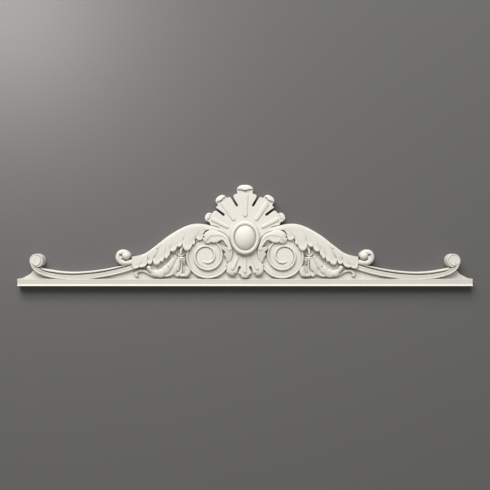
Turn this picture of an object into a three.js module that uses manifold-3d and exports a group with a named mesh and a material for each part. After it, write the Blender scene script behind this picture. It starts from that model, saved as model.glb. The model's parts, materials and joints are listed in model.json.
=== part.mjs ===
// A relief ornament for the wall above a door, cast in one piece with a flat back.
// A base strip carries two sagging rails that end in scrolls. In the middle a sunburst of rays
// stands round an oval boss, between two volutes, under acanthus leaves and over sprays of husks.
// Millimetres. X runs along the wall from the centre line, Z up from the underside, and every depth
// is measured out of the wall, towards -Y. The sides are mirror images, so one side is described.

import * as THREE from "three";
import { mergeVertices } from "three/addons/utils/BufferGeometryUtils.js";
import Module from "manifold-3d";

const wasm = await Module();
wasm.setup();

// Overall sizes
const LENGTH = 1200;
const ORIGIN_HEIGHT = 127.7;
const CUT_ALLOWANCE = 5;
const CUT_TOP = 60;
const WELD = 0.06;
const PLASTER = { color: 0xe9e6df, roughness: 0.85, metalness: 0 };

// Base strip and ground
const BASE_HEIGHT = 19.5;
const BASE_DEPTH = 20;
const BASE_LEAN = 2.4;
const LIP = 3.4;
const GROUND_DEPTH = 15.5;

// Rail and its outer roll
const FASCIA_HALF = 6.75;
const FASCIA_DEPTH = 22.5;
const FASCIA_RIM = 1.6;
const FASCIA_TILT = 0.16;
const GROOVE_FLOOR = 18;
const BEAD_START = 8.35;
const BEAD_WIDTH = 5.3;
const BEAD_DEPTH = 25.5;
const ROLL = { x: 547.5, z: 67.5, radius: 18, depth: 34 };
const ROLL_DISC = { x: 549, z: 68, radius: 13.6 };

// Volute beside the boss: a spiral from its outer rim in to a flat eye
const VOLUTE = { x: 101.2, z: 79.8, bearing: 205, radius: 63.5, pitch: 23.3, closing: 1.55 };
const VOLUTE_TURNS = { from: -0.12, to: 2.32 };
const VOLUTE_DEPTH = 20.5;
const VOLUTE_CLIMB = 3.2;
const CLIMBING_TURNS = 1.3;
const RIM_WIDTH = 5.4;
const RIM_RISE = 3.2;

// Sunburst
const RAY_DEPTH = 26.5;
const LOWER_RAY_DEPTH = 25;
const TONGUE_RISE = 2.6;

// Boss and the ring round it
const BOSS = { z: ORIGIN_HEIGHT, halfWidth: 27.9, halfHeight: 33.8, depth: 46, rise: 15 };
const RING = { halfWidth: 33.4, halfHeight: 38.3, tube: 5, depth: 33, rise: 5 };

const rad = THREE.MathUtils.degToRad;
const { lerp, smoothstep } = THREE.MathUtils;

// Curves and profiles

// A smooth line through points [x, z] on the wall.
function flow(points) {
  const corners = points.map(([x, z]) => new THREE.Vector3(x, 0, z));
  return new THREE.CatmullRomCurve3(corners);
}

// A value that eases from one stop [u, value] to the next.
function ramp(...stops) {
  return (u) => {
    const last = stops.length - 1;
    if (u <= stops[0][0]) return stops[0][1];
    if (u >= stops[last][0]) return stops[last][1];
    const i = stops.findIndex(([at]) => at > u);
    const [u0, a] = stops[i - 1];
    const [u1, b] = stops[i];
    return lerp(a, b, smoothstep(u, u0, u1));
  };
}

// A value that runs through its stops [u, value] without a kink or a level place.
function glide(...stops) {
  const last = stops.length - 1;
  const slopes = stops.map((_, i) => {
    const [u0, a] = stops[Math.max(i - 1, 0)];
    const [u1, b] = stops[Math.min(i + 1, last)];
    return (b - a) / (u1 - u0);
  });
  return (at) => {
    const u = Math.min(Math.max(at, stops[0][0]), stops[last][0]);
    const next = stops.findIndex(([stop]) => stop > u);
    const i = next < 0 ? last - 1 : next - 1;
    const [u0, a] = stops[i];
    const [u1, b] = stops[i + 1];
    const span = u1 - u0;
    const t = (u - u0) / span;
    const [square, cube] = [t * t, t * t * t];
    const start = a * (2 * cube - 3 * square + 1) + slopes[i] * span * (cube - 2 * square + t);
    return start + b * (3 * square - 2 * cube) + slopes[i + 1] * span * (cube - square);
  };
}

// n + 1 even steps from a to b.
function steps(n, a = 0, b = 1) {
  return Array.from({ length: n + 1 }, (_, i) => a + ((b - a) * i) / n);
}

// The height of a rounded section at v, from -1 to 1.
const dome = (v) => Math.sqrt(Math.max(0, 1 - v * v));

// Solids

// A closed geometry as a solid, with its faces turned outwards.
function solid(geometry) {
  geometry.deleteAttribute("normal");
  geometry.deleteAttribute("uv");
  const merged = mergeVertices(geometry, 1e-4);
  const vertProperties = new Float32Array(merged.attributes.position.array);
  const triVerts = new Uint32Array(merged.index.array);
  const made = () => new wasm.Manifold(new wasm.Mesh({ numProp: 3, vertProperties, triVerts }));
  const first = made();
  if (first.volume() > 0) return first;
  for (let i = 0; i < triVerts.length; i += 3) {
    [triVerts[i + 1], triVerts[i + 2]] = [triVerts[i + 2], triVerts[i + 1]];
  }
  return made();
}

// A sheet of relief on the wall. Each station and row of its grid has a place [x, z] and a depth,
// and the sheet runs back past the wall, to be cut off there.
function sheet({ stations, rows, place, front, back = -CUT_ALLOWANCE }) {
  const along = stations.length - 1;
  const across = rows.length - 1;
  const box = new THREE.BoxGeometry(1, 1, 1, along, 1, across);
  const corners = box.attributes.position;
  for (let i = 0; i < corners.count; i++) {
    const u = stations[Math.round((corners.getX(i) + 0.5) * along)];
    const v = rows[Math.round((corners.getZ(i) + 0.5) * across)];
    const [x, z] = place(u, v);
    corners.setXYZ(i, x, corners.getY(i) > 0 ? -front(u, v) : -back, z);
  }
  return solid(box);
}

// A band of relief along a line, with offset(u, v) the distance from the line.
function band({ line, offset, ...rest }) {
  const place = (u, v) => {
    const at = line.getPointAt(u);
    const way = line.getTangentAt(u);
    const out = offset(u, v);
    return [at.x - way.z * out, at.z + way.x * out];
  };
  return sheet({ place, ...rest });
}

// A band of half-width half(u) on both sides of its line.
function strip({ half, ...rest }) {
  return band({ ...rest, offset: (u, v) => v * half(u) });
}

// A turned boss, from a profile of [radius, depth], stretched upwards for an oval.
function turned(profile, { x = 0, z, stretch = 1, sides = 20 }) {
  const outline = profile.map(([r, depth]) => new THREE.Vector2(r, depth));
  const lathe = new THREE.LatheGeometry(outline, sides);
  lathe.rotateX(Math.PI).scale(1, 1, stretch).translate(x, 0, z);
  return solid(lathe);
}

// A round knob, from its radius, the depth of its foot and its rise.
function knob(radius, foot, rise, rings, place) {
  const profile = steps(rings).map((t) => {
    const turn = rad(90 * t);
    return [t < 1 ? radius * Math.cos(turn) : 0, foot + rise * Math.sin(turn)];
  });
  return turned([[0, -CUT_ALLOWANCE], [radius, -CUT_ALLOWANCE], ...profile], place);
}

// An outline of points [x, z] on the wall, carried straight out to a depth that may change with height.
function slab(points, depth) {
  const outline = new THREE.Shape(points.map(([x, z]) => new THREE.Vector2(x, z)));
  const plate = new THREE.ExtrudeGeometry(outline, { depth: 1, bevelEnabled: false });
  plate.rotateX(Math.PI / 2);
  const corners = plate.attributes.position;
  const reach = typeof depth === "number" ? () => depth : depth;
  for (let i = 0; i < corners.count; i++) {
    corners.setY(i, corners.getY(i) < -0.5 ? -reach(corners.getZ(i)) : CUT_ALLOWANCE);
  }
  return solid(plate);
}

// A cutter for a narrow line in the face of the carving.
function incised(points, count, half, floor) {
  return strip({
    line: flow(points),
    stations: steps(count),
    rows: [-1, 1],
    half,
    front: () => CUT_TOP,
    back: floor,
  });
}

const join = (parts) => wasm.Manifold.union(parts);

// Lines shared by several pieces

// The middle of the rail's flat face, from the leaf's tail out and up round the roll.
const railLine = flow([
  [286, 54],
  [326, 41.7],
  [367, 32.5],
  [407, 26.8],
  [457, 24.2],
  [506, 28.4],
  [532, 36],
  [547, 45],
  [556, 57],
  [558.5, 68],
  [556, 76],
]);

// The upper edge of the acanthus leaf, from the boss out to its tail.
const leafEdge = flow([
  [62, 150],
  [90, 159.5],
  [112, 164],
  [134, 164],
  [158, 157],
  [198, 135],
  [237, 105],
  [264, 86.5],
  [297, 79],
]);

// The cove where the ground runs down to the end of the base strip.
const coveLine = flow([
  [595, 19.6],
  [588, 21.2],
  [582, 24.5],
  [572, 29.8],
  [566.5, 33.8],
  [560, 41],
]);

// The point of the leaf's upper edge at a distance from the centre line, and its direction there.
function leafEdgeAt(x) {
  let [low, high] = [0, 1];
  for (let i = 0; i < 24; i++) {
    const middle = (low + high) / 2;
    if (leafEdge.getPointAt(middle).x < x) low = middle;
    else high = middle;
  }
  return { at: leafEdge.getPointAt(low), way: leafEdge.getTangentAt(low) };
}

// Base and ground

function baseStrip() {
  const profile = [
    [-CUT_ALLOWANCE, 0],
    [BASE_DEPTH + LIP - 1.4, 0],
    [BASE_DEPTH + LIP, 1.2],
    [BASE_DEPTH, 5],
    [BASE_DEPTH + BASE_LEAN, BASE_HEIGHT - 1],
    [BASE_DEPTH + BASE_LEAN - 1, BASE_HEIGHT],
    [-CUT_ALLOWANCE, BASE_HEIGHT],
  ];
  const outline = new THREE.Shape(profile.map(([depth, z]) => new THREE.Vector2(depth, z)));
  const bar = new THREE.ExtrudeGeometry(outline, { depth: LENGTH, bevelEnabled: false });
  bar.rotateX(Math.PI / 2).rotateZ(-Math.PI / 2).translate(LENGTH / 2, 0, 0);
  return solid(bar);
}

function ground() {
  const end = LENGTH / 2;
  const inset = 8;
  const outline = [
    [-1, 0],
    [end, 0],
    [end, BASE_HEIGHT - 2],
  ];
  for (const u of steps(6)) {
    const at = coveLine.getPointAt(u);
    outline.push([at.x, at.z]);
  }
  for (const u of steps(8, 0.84, 0.04)) {
    const at = railLine.getPointAt(u);
    outline.push([at.x, at.z]);
  }
  for (const u of steps(9, 0.88, 0.1)) {
    const at = leafEdge.getPointAt(u);
    const way = leafEdge.getTangentAt(u);
    outline.push([at.x + way.z * inset, at.z - way.x * inset]);
  }
  outline.push([-1, BOSS.z + BOSS.halfHeight]);
  return slab(outline, GROUND_DEPTH);
}

// Rail, roll and the curl on the leaf's tail

function rail() {
  const lift = ramp([0, FASCIA_DEPTH], [0.76, FASCIA_DEPTH], [0.93, 32.6], [1, 32.6]);
  const rim = ramp([0.3, FASCIA_RIM], [0.42, 0], [0.56, 0], [0.66, FASCIA_RIM]);
  const grooved = ramp([0.8, 1], [0.88, 0]);
  const narrow = ramp([0.9, 1], [1, 0.6]);
  const edge = FASCIA_HALF - 0.8;
  const fascia = band({
    line: railLine,
    stations: steps(16),
    rows: [-FASCIA_HALF, -FASCIA_HALF + 2.8, -FASCIA_HALF + 3.3, edge - 0.3, edge + 0.3, BEAD_START + 1],
    offset: (u, out) => out * narrow(u),
    front: (u, out) => {
      const raised = out < -FASCIA_HALF + 3 ? rim(u) : 0;
      const face = lift(u) + raised + FASCIA_TILT * out;
      return out > edge ? lerp(face, GROOVE_FLOOR, grooved(u)) : face;
    },
  });
  const beadWidth = ramp([0, 1.6], [0.06, 2.4], [0.35, BEAD_WIDTH], [0.7, BEAD_WIDTH], [0.87, 2.2]);
  const bead = band({
    line: railLine,
    stations: steps(12, 0, 0.87),
    rows: [-1, -0.5, 0.5, 1],
    offset: (u, v) => BEAD_START + beadWidth(u) * (0.5 + v / 2),
    front: (u, v) => BEAD_DEPTH - (Math.abs(v) > 0.9 ? 2 : 0),
  });
  return join([fascia, bead, roll()]);
}

// The end of the rail, wound into a roll: a disc inside a rim.
function roll() {
  const { x, z, radius, depth } = ROLL;
  const rim = [
    [0, -CUT_ALLOWANCE],
    [radius, -CUT_ALLOWANCE],
    [radius, depth - 2],
    [radius - 1.5, depth - 0.7],
    [radius - 3.3, depth - 2.6],
    [0, depth - 2.6],
  ];
  const disc = [
    [0, -CUT_ALLOWANCE],
    [ROLL_DISC.radius, -CUT_ALLOWANCE],
    [ROLL_DISC.radius, depth - 1.4],
    [ROLL_DISC.radius - 1.2, depth],
    [0, depth - 0.4],
  ];
  const wound = turned(rim, { x, z, sides: 20 });
  return join([wound, turned(disc, { x: ROLL_DISC.x, z: ROLL_DISC.z, sides: 14 })]);
}

function tailCurl() {
  const lift = glide([0, 23], [0.2, 22], [0.5, 23.5], [0.75, 25], [0.88, 25.5], [1, 21]);
  const stem = strip({
    line: flow([
      [284, 67],
      [298, 64],
      [311, 62.6],
      [324, 66],
      [332.8, 76],
      [329, 86.5],
      [319, 89.6],
      [309.5, 86],
      [306, 79],
    ]),
    stations: steps(15),
    rows: [-1, -0.55, 0.55, 1],
    half: glide([0, 7.2], [0.15, 6.8], [0.35, 7.2], [0.65, 7.6], [0.8, 7.2], [1, 3]),
    front: (u, v) => lift(u) + 6 * dome(v * 0.97),
  });
  return join([
    stem,
    knob(11.6, 24, 10, 3, { x: 313.2, z: 80.8, sides: 12 }),
    knob(6, 23, 6, 2, { x: 326.6, z: 75, sides: 8 }),
    knob(11, 18, 1, 1, { x: 315.5, z: 77.5, sides: 10 }),
  ]);
}

// Volute: a spiral that climbs to its eye, each turn with a raised rim on its outer edge

function volute() {
  const { x, z, bearing, radius, pitch, closing } = VOLUTE;
  const { from, to } = VOLUTE_TURNS;
  const rimAt = (turn) => radius - pitch * turn + closing * turn * turn;
  const level = (turn) => VOLUTE_DEPTH + VOLUTE_CLIMB * Math.min(turn, CLIMBING_TURNS);
  const fade = ramp([to - 0.16, 1], [to, 0]);
  const reach = 36;
  const pieces = 4;
  const ends = steps(pieces, from, to);
  const parts = [];
  for (let i = 0; i < pieces; i++) {
    parts.push(
      sheet({
        stations: steps(10, ends[i], ends[i + 1]),
        rows: [0, reach - RIM_WIDTH - 0.8, reach - RIM_WIDTH, reach],
        place: (turn, out) => {
          const angle = rad(bearing + 360 * turn);
          const r = Math.max(1, rimAt(turn) - reach + out);
          return [x + r * Math.cos(angle), z + r * Math.sin(angle)];
        },
        front: (turn, out) => level(turn) + (out > reach - RIM_WIDTH - 0.1 ? RIM_RISE * fade(turn) : 0),
      }),
    );
  }
  const top = level(to) - 0.5;
  parts.push(knob(3, top - 0.5, 0.5, 1, { x, z, sides: 8 }));
  return join(parts);
}

// Acanthus

// The lower edge of the leaf, from the boss out: the notches, and between them the bottoms of the round
// lobes and of the teeth beside them, each as [distance from the centre line, height].
const LEAF_NOTCHES = [
  [109.5, 133],
  [129.6, 131],
  [138.9, 112],
  [164.2, 114],
  [178.7, 106.5],
  [196.6, 93.5],
  [201.3, 81.5],
  [212.6, 78],
  [222.7, 66],
  [242.4, 72.7],
  [256.9, 64],
  [278.5, 52],
  [296, 54],
];
const LOBE_BOTTOMS = [
  [119.9, 120.4],
  [134.5, 108.8],
  [152.8, 93],
  [173.1, 103],
  [189.7, 90.9],
  [199.2, 79.8],
  [206.8, 72.5],
  [216.6, 64.6],
  [234.5, 56.1],
  [250.8, 57.7],
  [273.3, 49.3],
  [291.2, 46.6],
];
const FIBRE_LEAN = 34;
const LEAF_START = LEAF_NOTCHES[0][0];
const LEAF_END = LEAF_NOTCHES.at(-1)[0];

// Each quarter round of the lower edge, as the bottom of its lobe and the notch it rises to.
const LOBE_QUARTERS = LOBE_BOTTOMS.flatMap((bottom, i) => [
  { bottom, notch: LEAF_NOTCHES[i] },
  { bottom, notch: LEAF_NOTCHES[i + 1] },
]);

function leafLowerEdge(x) {
  const inside = ({ bottom, notch }) => (x - bottom[0]) * (x - notch[0]) <= 0;
  const { bottom, notch } = LOBE_QUARTERS.find(inside);
  const share = (x - bottom[0]) / (notch[0] - bottom[0]);
  return lerp(notch[1], bottom[1], dome(share));
}

// The end of a fibre of the leaf: along the lower edge, then up the short edge at the tail.
function fibreEnd(run) {
  if (run <= LEAF_END) return [run, leafLowerEdge(run)];
  return [LEAF_END + 1.5, leafLowerEdge(LEAF_END) + run - LEAF_END];
}

function leafBlade() {
  const rise = leafEdge.getPointAt(1).z - leafLowerEdge(LEAF_END) - 1;
  const runs = new Set([LEAF_END + rise / 2, LEAF_END + rise]);
  const shortest = 6;
  for (const { bottom, notch } of LOBE_QUARTERS) {
    runs.add(bottom[0]).add(notch[0]);
    if (Math.abs(notch[0] - bottom[0]) > shortest) runs.add(lerp(bottom[0], notch[0], 0.72));
  }
  const fibre = (run, v) => {
    const { at, way } = leafEdgeAt(Math.min(run, LEAF_END) - FIBRE_LEAN);
    const end = fibreEnd(run);
    const pull = 0.38 * Math.hypot(end[0] - at.x, end[1] - at.z);
    const knee = [at.x + way.x * pull, at.z + way.z * pull];
    const w = 1 - v;
    return [
      w * w * at.x + 2 * w * v * knee[0] + v * v * end[0],
      w * w * at.z + 2 * w * v * knee[1] + v * v * end[1],
    ];
  };
  const swell = glide([LEAF_START, 32], [120, 33.8], [160, 35], [230, 31.5], [LEAF_END, 29.5]);
  const section = ramp([0, -7], [0.12, -0.8], [0.6, 0.7], [1, -0.8]);
  return sheet({
    stations: [...runs].sort((a, b) => a - b),
    rows: [0, 0.12, 0.6, 1],
    place: fibre,
    front: (run, v) => swell(run) + section(v),
  });
}

// The shoulder of the leaf, where it grows out of the sunburst.
function leafShoulder() {
  const width = ramp([0, 11], [0.12, 17], [0.34, 26]);
  const lift = ramp([0, 27.5], [0.05, 31], [0.1, 34], [0.34, 34.4]);
  return band({
    line: leafEdge,
    stations: [0, 0.05, 0.1, 0.18, 0.26, 0.34],
    rows: [0, 0.12, 0.7, 1],
    offset: (u, v) => -width(u) * v,
    front: (u, v) => lift(u) + ramp([0, -3.5], [0.12, -0.8], [0.7, 0.3], [1, -2])(v),
  });
}

// The leaf that climbs beside the boss and curls over the volute, folded along a crease,
// and its toothed foot.
function curledLeaf() {
  const fold = 1.3;
  const lift = ramp([0, 31], [0.3, 33], [0.8, 34.2], [1, 32]);
  const crease = glide([0, 0], [0.4, 0.05], [0.6, 0.12], [0.8, -0.1], [1, -0.75]);
  const half = glide(
    [0, 4.5],
    [0.09, 5],
    [0.2, 6],
    [0.325, 7.6],
    [0.43, 9.2],
    [0.54, 11.9],
    [0.62, 15.3],
    [0.81, 16.6],
    [0.93, 13.5],
    [1, 10],
  );
  const folded = ramp([0.15, 0], [0.35, fold]);
  const across = (u, row) => [-1, crease(u) - 0.06, crease(u) + 0.06, 0.7, 1][row];
  const arch = band({
    line: flow([
      [38.5, 96],
      [40, 104.3],
      [44.3, 113.6],
      [50, 123.6],
      [57.4, 130.2],
      [67.2, 131.8],
      [75.1, 131.2],
      [92.2, 131.2],
      [102.8, 127.3],
      [108.5, 123.3],
    ]),
    stations: steps(14),
    rows: [0, 1, 2, 3, 4],
    offset: (u, row) => across(u, row) * half(u),
    front: (u, row) => {
      const v = across(u, row);
      const under = row < 2 ? folded(u) : 0;
      return lift(u) + 3 * dome(0.97 * Math.max(v, crease(u))) - under;
    },
  });
  const foot = [
    [33.5, 104],
    [32.7, 85],
    [36, 71],
    [44.8, 63],
    [48.2, 66.7],
    [49, 73.3],
    [52.2, 79],
    [55.8, 83.3],
    [54.3, 87.2],
    [51.4, 89.3],
    [54.8, 93.5],
    [59.8, 97.6],
    [60.5, 101.2],
    [55.3, 103.6],
    [44, 103],
  ];
  return join([arch, slab(foot, (z) => lerp(28.5, 33.5, (z - 63) / 41))]);
}

// The shallow floors between the volute and the curled leaf, and inside the husk spray.
function hollowFloors() {
  const besideVolute = [
    [74, 128],
    [44, 124],
    [43, 96],
    [62, 92],
    [76, 108],
  ];
  const insideHusk = [
    [170, 78],
    [157, 74],
    [155, 60],
    [157, 28],
    [170, 28],
  ];
  return join([slab(besideVolute, 25), slab(insideHusk, 20)]);
}

// The narrow gaps that part the curled leaf from the first lobe, from the sunburst and from the boss.
function leafGaps() {
  const slit = [
    [94, 148],
    [101.4, 145.7],
    [106.5, 141],
    [109.3, 135],
  ];
  const shoulderLine = [
    [94, 160.8],
    [84.3, 159.4],
    [73.8, 156.8],
    [66.4, 153],
  ];
  const archLine = [
    [70, 145.4],
    [63.2, 143.1],
    [52.7, 138.3],
    [44.8, 129.1],
    [40.1, 118],
    [35.6, 106.2],
    [32.6, 95.7],
    [32, 83],
  ];
  return join([
    incised(slit, 5, ramp([0, 0.9], [0.3, 1.8], [1, 1.2]), 16.4),
    incised(shoulderLine, 5, ramp([0, 0.9], [0.7, 1.2], [1, 0.5]), 24),
    incised(archLine, 7, ramp([0, 0.4], [0.2, 0.9], [0.7, 1.3], [1, 1]), 23),
  ]);
}

// Husk spray

// Each petal: its line, the half-widths and the depths along it.
const PETALS = [
  {
    line: [
      [174, 75],
      [178, 60],
      [184, 44],
      [193, 31],
    ],
    half: [
      [0, 4.5],
      [0.3, 7.6],
      [0.75, 8],
      [0.93, 5],
      [1, 2],
    ],
    lift: [
      [0, 27],
      [0.5, 26],
      [1, 22],
    ],
  },
  {
    line: [
      [171, 64],
      [172.5, 45],
      [177.5, 27],
    ],
    half: [
      [0, 2.5],
      [0.6, 5.6],
      [0.85, 5.2],
      [1, 2],
    ],
    lift: [
      [0, 23],
      [0.6, 23],
      [1, 20],
    ],
  },
  {
    line: [
      [168.4, 76],
      [167, 58],
      [167, 44],
      [170.5, 29],
    ],
    half: [
      [0, 3.2],
      [0.3, 2.2],
      [0.7, 2.4],
      [1, 4],
    ],
    lift: [
      [0, 28],
      [0.5, 25],
      [1, 22],
    ],
  },
  {
    line: [
      [162.6, 77],
      [161.4, 66],
      [161.8, 55],
    ],
    half: [
      [0, 4.2],
      [0.5, 3.4],
      [1, 2],
    ],
    lift: [
      [0, 27],
      [0.5, 24],
      [1, 14],
    ],
  },
  {
    line: [
      [171, 29],
      [162, 29.3],
      [154.6, 31.4],
      [150.6, 38],
      [151.6, 46],
      [153, 54.5],
    ],
    half: [
      [0, 3],
      [0.25, 4.6],
      [0.5, 6.8],
      [0.68, 7],
      [0.85, 4.4],
      [1, 0.8],
    ],
    lift: [
      [0, 22],
      [0.5, 24],
      [1, 25],
    ],
  },
];

function husk() {
  const rounded = (line, count, half, lift, crown = 3) => {
    return strip({
      line: flow(line),
      stations: steps(count),
      rows: [-1, 0, 1],
      half,
      front: (u, v) => lift(u) + crown * dome(v * 0.95),
    });
  };
  const stem = [
    [163, 113],
    [165.5, 102],
    [169.5, 85],
  ];
  const collar = [
    [177.5, 88.5],
    [174, 82.5],
    [168, 81],
    [161, 83],
  ];
  const leaf = [
    [181, 80],
    [192, 63],
    [205, 46.8],
    [221.5, 35],
    [237.5, 34.6],
    [248.5, 42],
    [253, 48],
  ];
  const tendril = [
    [237, 27],
    [250, 32],
    [261, 38],
    [271.4, 41],
    [280.6, 40],
    [286.6, 35.2],
    [287, 29.5],
    [283.5, 26.2],
  ];
  const body = [
    [174, 81],
    [186, 80],
    [197, 64],
    [205, 50],
    [222, 40],
    [235, 30],
    [205, 25],
    [193.7, 29],
    [186, 31],
    [181, 26],
    [170, 25],
    [164.5, 40],
    [164.5, 60],
    [160, 64],
    [160, 76],
  ];
  const leafHalf = ramp([0, 4.5], [0.2, 7.8], [0.41, 9.8], [0.63, 10.8], [0.79, 8.8], [0.92, 5.4], [1, 4]);
  return join([
    slab(body, 23.5),
    rounded(stem, 3, ramp([0, 1.6], [0.8, 3.2], [1, 2.4]), () => 24),
    rounded(collar, 5, ramp([0, 1.2], [0.5, 2.6], [1, 1.2]), () => 26),
    rounded(leaf, 10, leafHalf, ramp([0, 27], [0.4, 24.5], [0.8, 22], [1, 26]), 3.6),
    knob(6, 25, 5, 2, { x: 252.6, z: 48.6, sides: 10 }),
    rounded(tendril, 11, ramp([0, 2.5], [0.3, 3.4], [0.6, 3.5], [0.85, 4.1], [1, 2.6]), () => 19.5, 2.6),
    ...PETALS.map(({ line, half, lift }) => rounded(line, 6, ramp(...half), ramp(...lift))),
  ]);
}

// Sunburst

// Each ray: its bearing from straight up, the radius of its tip and of the widest place of its round cap,
// the cap's half-width, the radius and rise of the lip where the tip curls forward, the tongue along it as
// [start, end, half-width], and the [radius, half-width] of the neck and the tooth on its inner and outer
// sides. Radii are measured from the focus of the rays.
const UPPER_FOCUS = 132.5;
const UPPER_RAYS = [
  {
    bearing: 0,
    tip: 134.4,
    cap: 120,
    half: 21.3,
    lip: 120.9,
    curl: 4.5,
    tongue: [51, 116, 8.8],
    outer: [
      [111.5, 20.3],
      [107.2, 30.8],
    ],
  },
  {
    bearing: 33.6,
    tip: 125.2,
    cap: 113,
    half: 15,
    lip: 113.8,
    curl: 4.5,
    tongue: [50, 108, 7.2],
    inner: [
      [109, 16],
      [107, 24],
    ],
    outer: [
      [106.7, 14.5],
      [104, 22.8],
    ],
  },
  {
    bearing: 62.5,
    tip: 117,
    cap: 105.5,
    half: 12,
    lip: 106,
    curl: 2.5,
    tongue: [49, 100, 6],
    inner: [
      [103.5, 14],
      [101, 22],
    ],
    outer: [
      [99.5, 11],
      [97, 14],
    ],
  },
];
const LOWER_FOCUS = 116.7;
const LOWER_RAYS = [
  {
    bearing: 180,
    tip: 95,
    cap: 87,
    half: 11,
    lip: 84,
    curl: 4,
    tongue: [43, 81, 4.9],
    outer: [
      [85.5, 11.2],
      [82.8, 16.4],
    ],
  },
  {
    bearing: 155,
    tip: 95,
    cap: 87,
    half: 12.5,
    lip: 83,
    curl: 4,
    tongue: [42, 80, 4.9],
    inner: [
      [85.5, 10.4],
      [82.4, 14.4],
    ],
    outer: [
      [80, 15.5],
      [76.5, 18.5],
    ],
  },
];

// The gaps between the rays: the bearing and radius of the inner end and of the open end, and the
// half-widths there.
const UPPER_SLITS = [
  { inner: [14.9, 83.2], outer: [18.2, 104], half: 3, mouth: 3 },
  { inner: [45.3, 79.4], outer: [46.9, 101], half: 3, mouth: 3 },
];
const LOWER_SLITS = [{ inner: [168, 68.5], outer: [166.4, 82], half: 3.2, mouth: 1.9 }];

// The caps of the rays are a little squarer than an ellipse.
const SQUARENESS = 0.85;

// The point at radius r on a bearing from straight up, moved sideways away from the centre line.
function bearingPoint(focus, bearing, r, side = 0) {
  const [dx, dz] = [Math.sin(rad(bearing)), Math.cos(rad(bearing))];
  const away = bearing < 90 ? side : -side;
  return [dx * r + dz * away, focus + dz * r - dx * away];
}

// One side of a ray from its tip to its tooth: side 1 lies away from the centre line.
function rayHalfOutline(focus, ray, side) {
  const points = steps(4, 0, 90).map((turn) => {
    const reach = Math.max(0, Math.cos(rad(turn))) ** SQUARENESS;
    return [lerp(ray.cap, ray.tip, reach), ray.half * Math.sin(rad(turn)) ** SQUARENESS];
  });
  const [neck, tooth] = side > 0 ? ray.outer : ray.inner;
  const chamfer = 2.2;
  points.push(neck, [tooth[0] + 0.7 * chamfer, tooth[1] - chamfer], tooth);
  return points.map(([r, half]) => bearingPoint(focus, ray.bearing, r, side * half));
}

// The round-ended gap between two rays, from the side of the ray nearer the centre line to the other.
function slitOutline(focus, { inner, outer, half, mouth }) {
  const near = new THREE.Vector2(...bearingPoint(focus, ...inner));
  const far = new THREE.Vector2(...bearingPoint(focus, ...outer));
  const way = far.clone().sub(near).normalize();
  const across = new THREE.Vector2(way.y, -way.x);
  if (across.x > 0) across.negate();
  const round = steps(3, 0, 180).map((turn) => {
    const arm = across.clone().multiplyScalar(half * Math.cos(rad(turn)));
    return near.clone().add(arm).addScaledVector(way, -half * Math.sin(rad(turn)));
  });
  const first = far.clone().addScaledVector(across, mouth);
  const last = far.clone().addScaledVector(across, -mouth);
  return [first, ...round, last].map(({ x, y }) => [x, y]);
}

// The outline of a fan of rays on both sides of the centre line.
function burstOutline(focus, rays, slits, closing) {
  const half = [];
  rays.forEach((ray, i) => {
    if (ray.inner) half.push(...rayHalfOutline(focus, ray, -1).reverse().slice(0, -1));
    half.push(...rayHalfOutline(focus, ray, 1));
    if (i < slits.length) half.push(...slitOutline(focus, slits[i]));
  });
  half.push(...closing);
  const other = half.slice(1).reverse();
  return [...half, ...other.map(([x, z]) => [-x, z])];
}

// The raised reed along the middle of a ray.
function tongueOf(focus, { bearing, tongue }, depth) {
  const [start, end, half] = tongue;
  const width = ramp([0, 0.35], [0.06, 0.72], [0.92, 1], [1, 0.45]);
  return sheet({
    stations: [0, 0.06, 0.92, 1],
    rows: [-1, 1],
    place: (u, v) => bearingPoint(focus, bearing, lerp(start, end, u), v * half * width(u)),
    front: () => depth + TONGUE_RISE,
  });
}

// The tip of a ray, curled forward: a bulge between the lip's line and the outline.
function lipOf(focus, ray, depth) {
  const wave = (s) => 0.12 * smoothstep(Math.abs(s), 0.08, 0.55) - 0.05 * smoothstep(Math.abs(s), 0.65, 0.95);
  const edge = (s) => (1 - Math.abs(s) ** (2 / SQUARENESS)) ** (SQUARENESS / 2);
  return sheet({
    stations: [-0.96, -0.55, 0, 0.55, 0.96],
    rows: [0, 0.6, 0.97],
    place: (s, v) => {
      const inner = ray.lip + ray.half * wave(s);
      const outer = Math.max(lerp(ray.cap, ray.tip, edge(s)), inner + 0.6);
      return bearingPoint(focus, ray.bearing, lerp(inner, outer, v), s * ray.half);
    },
    front: (s, v) => depth - 2 + (ray.curl + 2) * dome(0.92 * s) ** 0.6 * dome(0.97 * v) ** 0.7,
  });
}

function sunburst() {
  const upper = burstOutline(UPPER_FOCUS, UPPER_RAYS, UPPER_SLITS, [
    [88, 156],
    [84, 130],
    [40, 100],
  ]);
  const lower = burstOutline(LOWER_FOCUS, LOWER_RAYS, LOWER_SLITS, [
    [44, 60],
    [34, 110],
  ]);
  const parts = [slab(upper, RAY_DEPTH), slab(lower, LOWER_RAY_DEPTH)];
  const carve = (focus, depth) => (ray) => {
    const carved = join([tongueOf(focus, ray, depth), lipOf(focus, ray, depth)]);
    parts.push(carved);
    if (ray.inner) parts.push(carved.mirror([1, 0, 0]));
  };
  UPPER_RAYS.forEach(carve(UPPER_FOCUS, RAY_DEPTH));
  LOWER_RAYS.forEach(carve(LOWER_FOCUS, LOWER_RAY_DEPTH));
  return join(parts);
}

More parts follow.
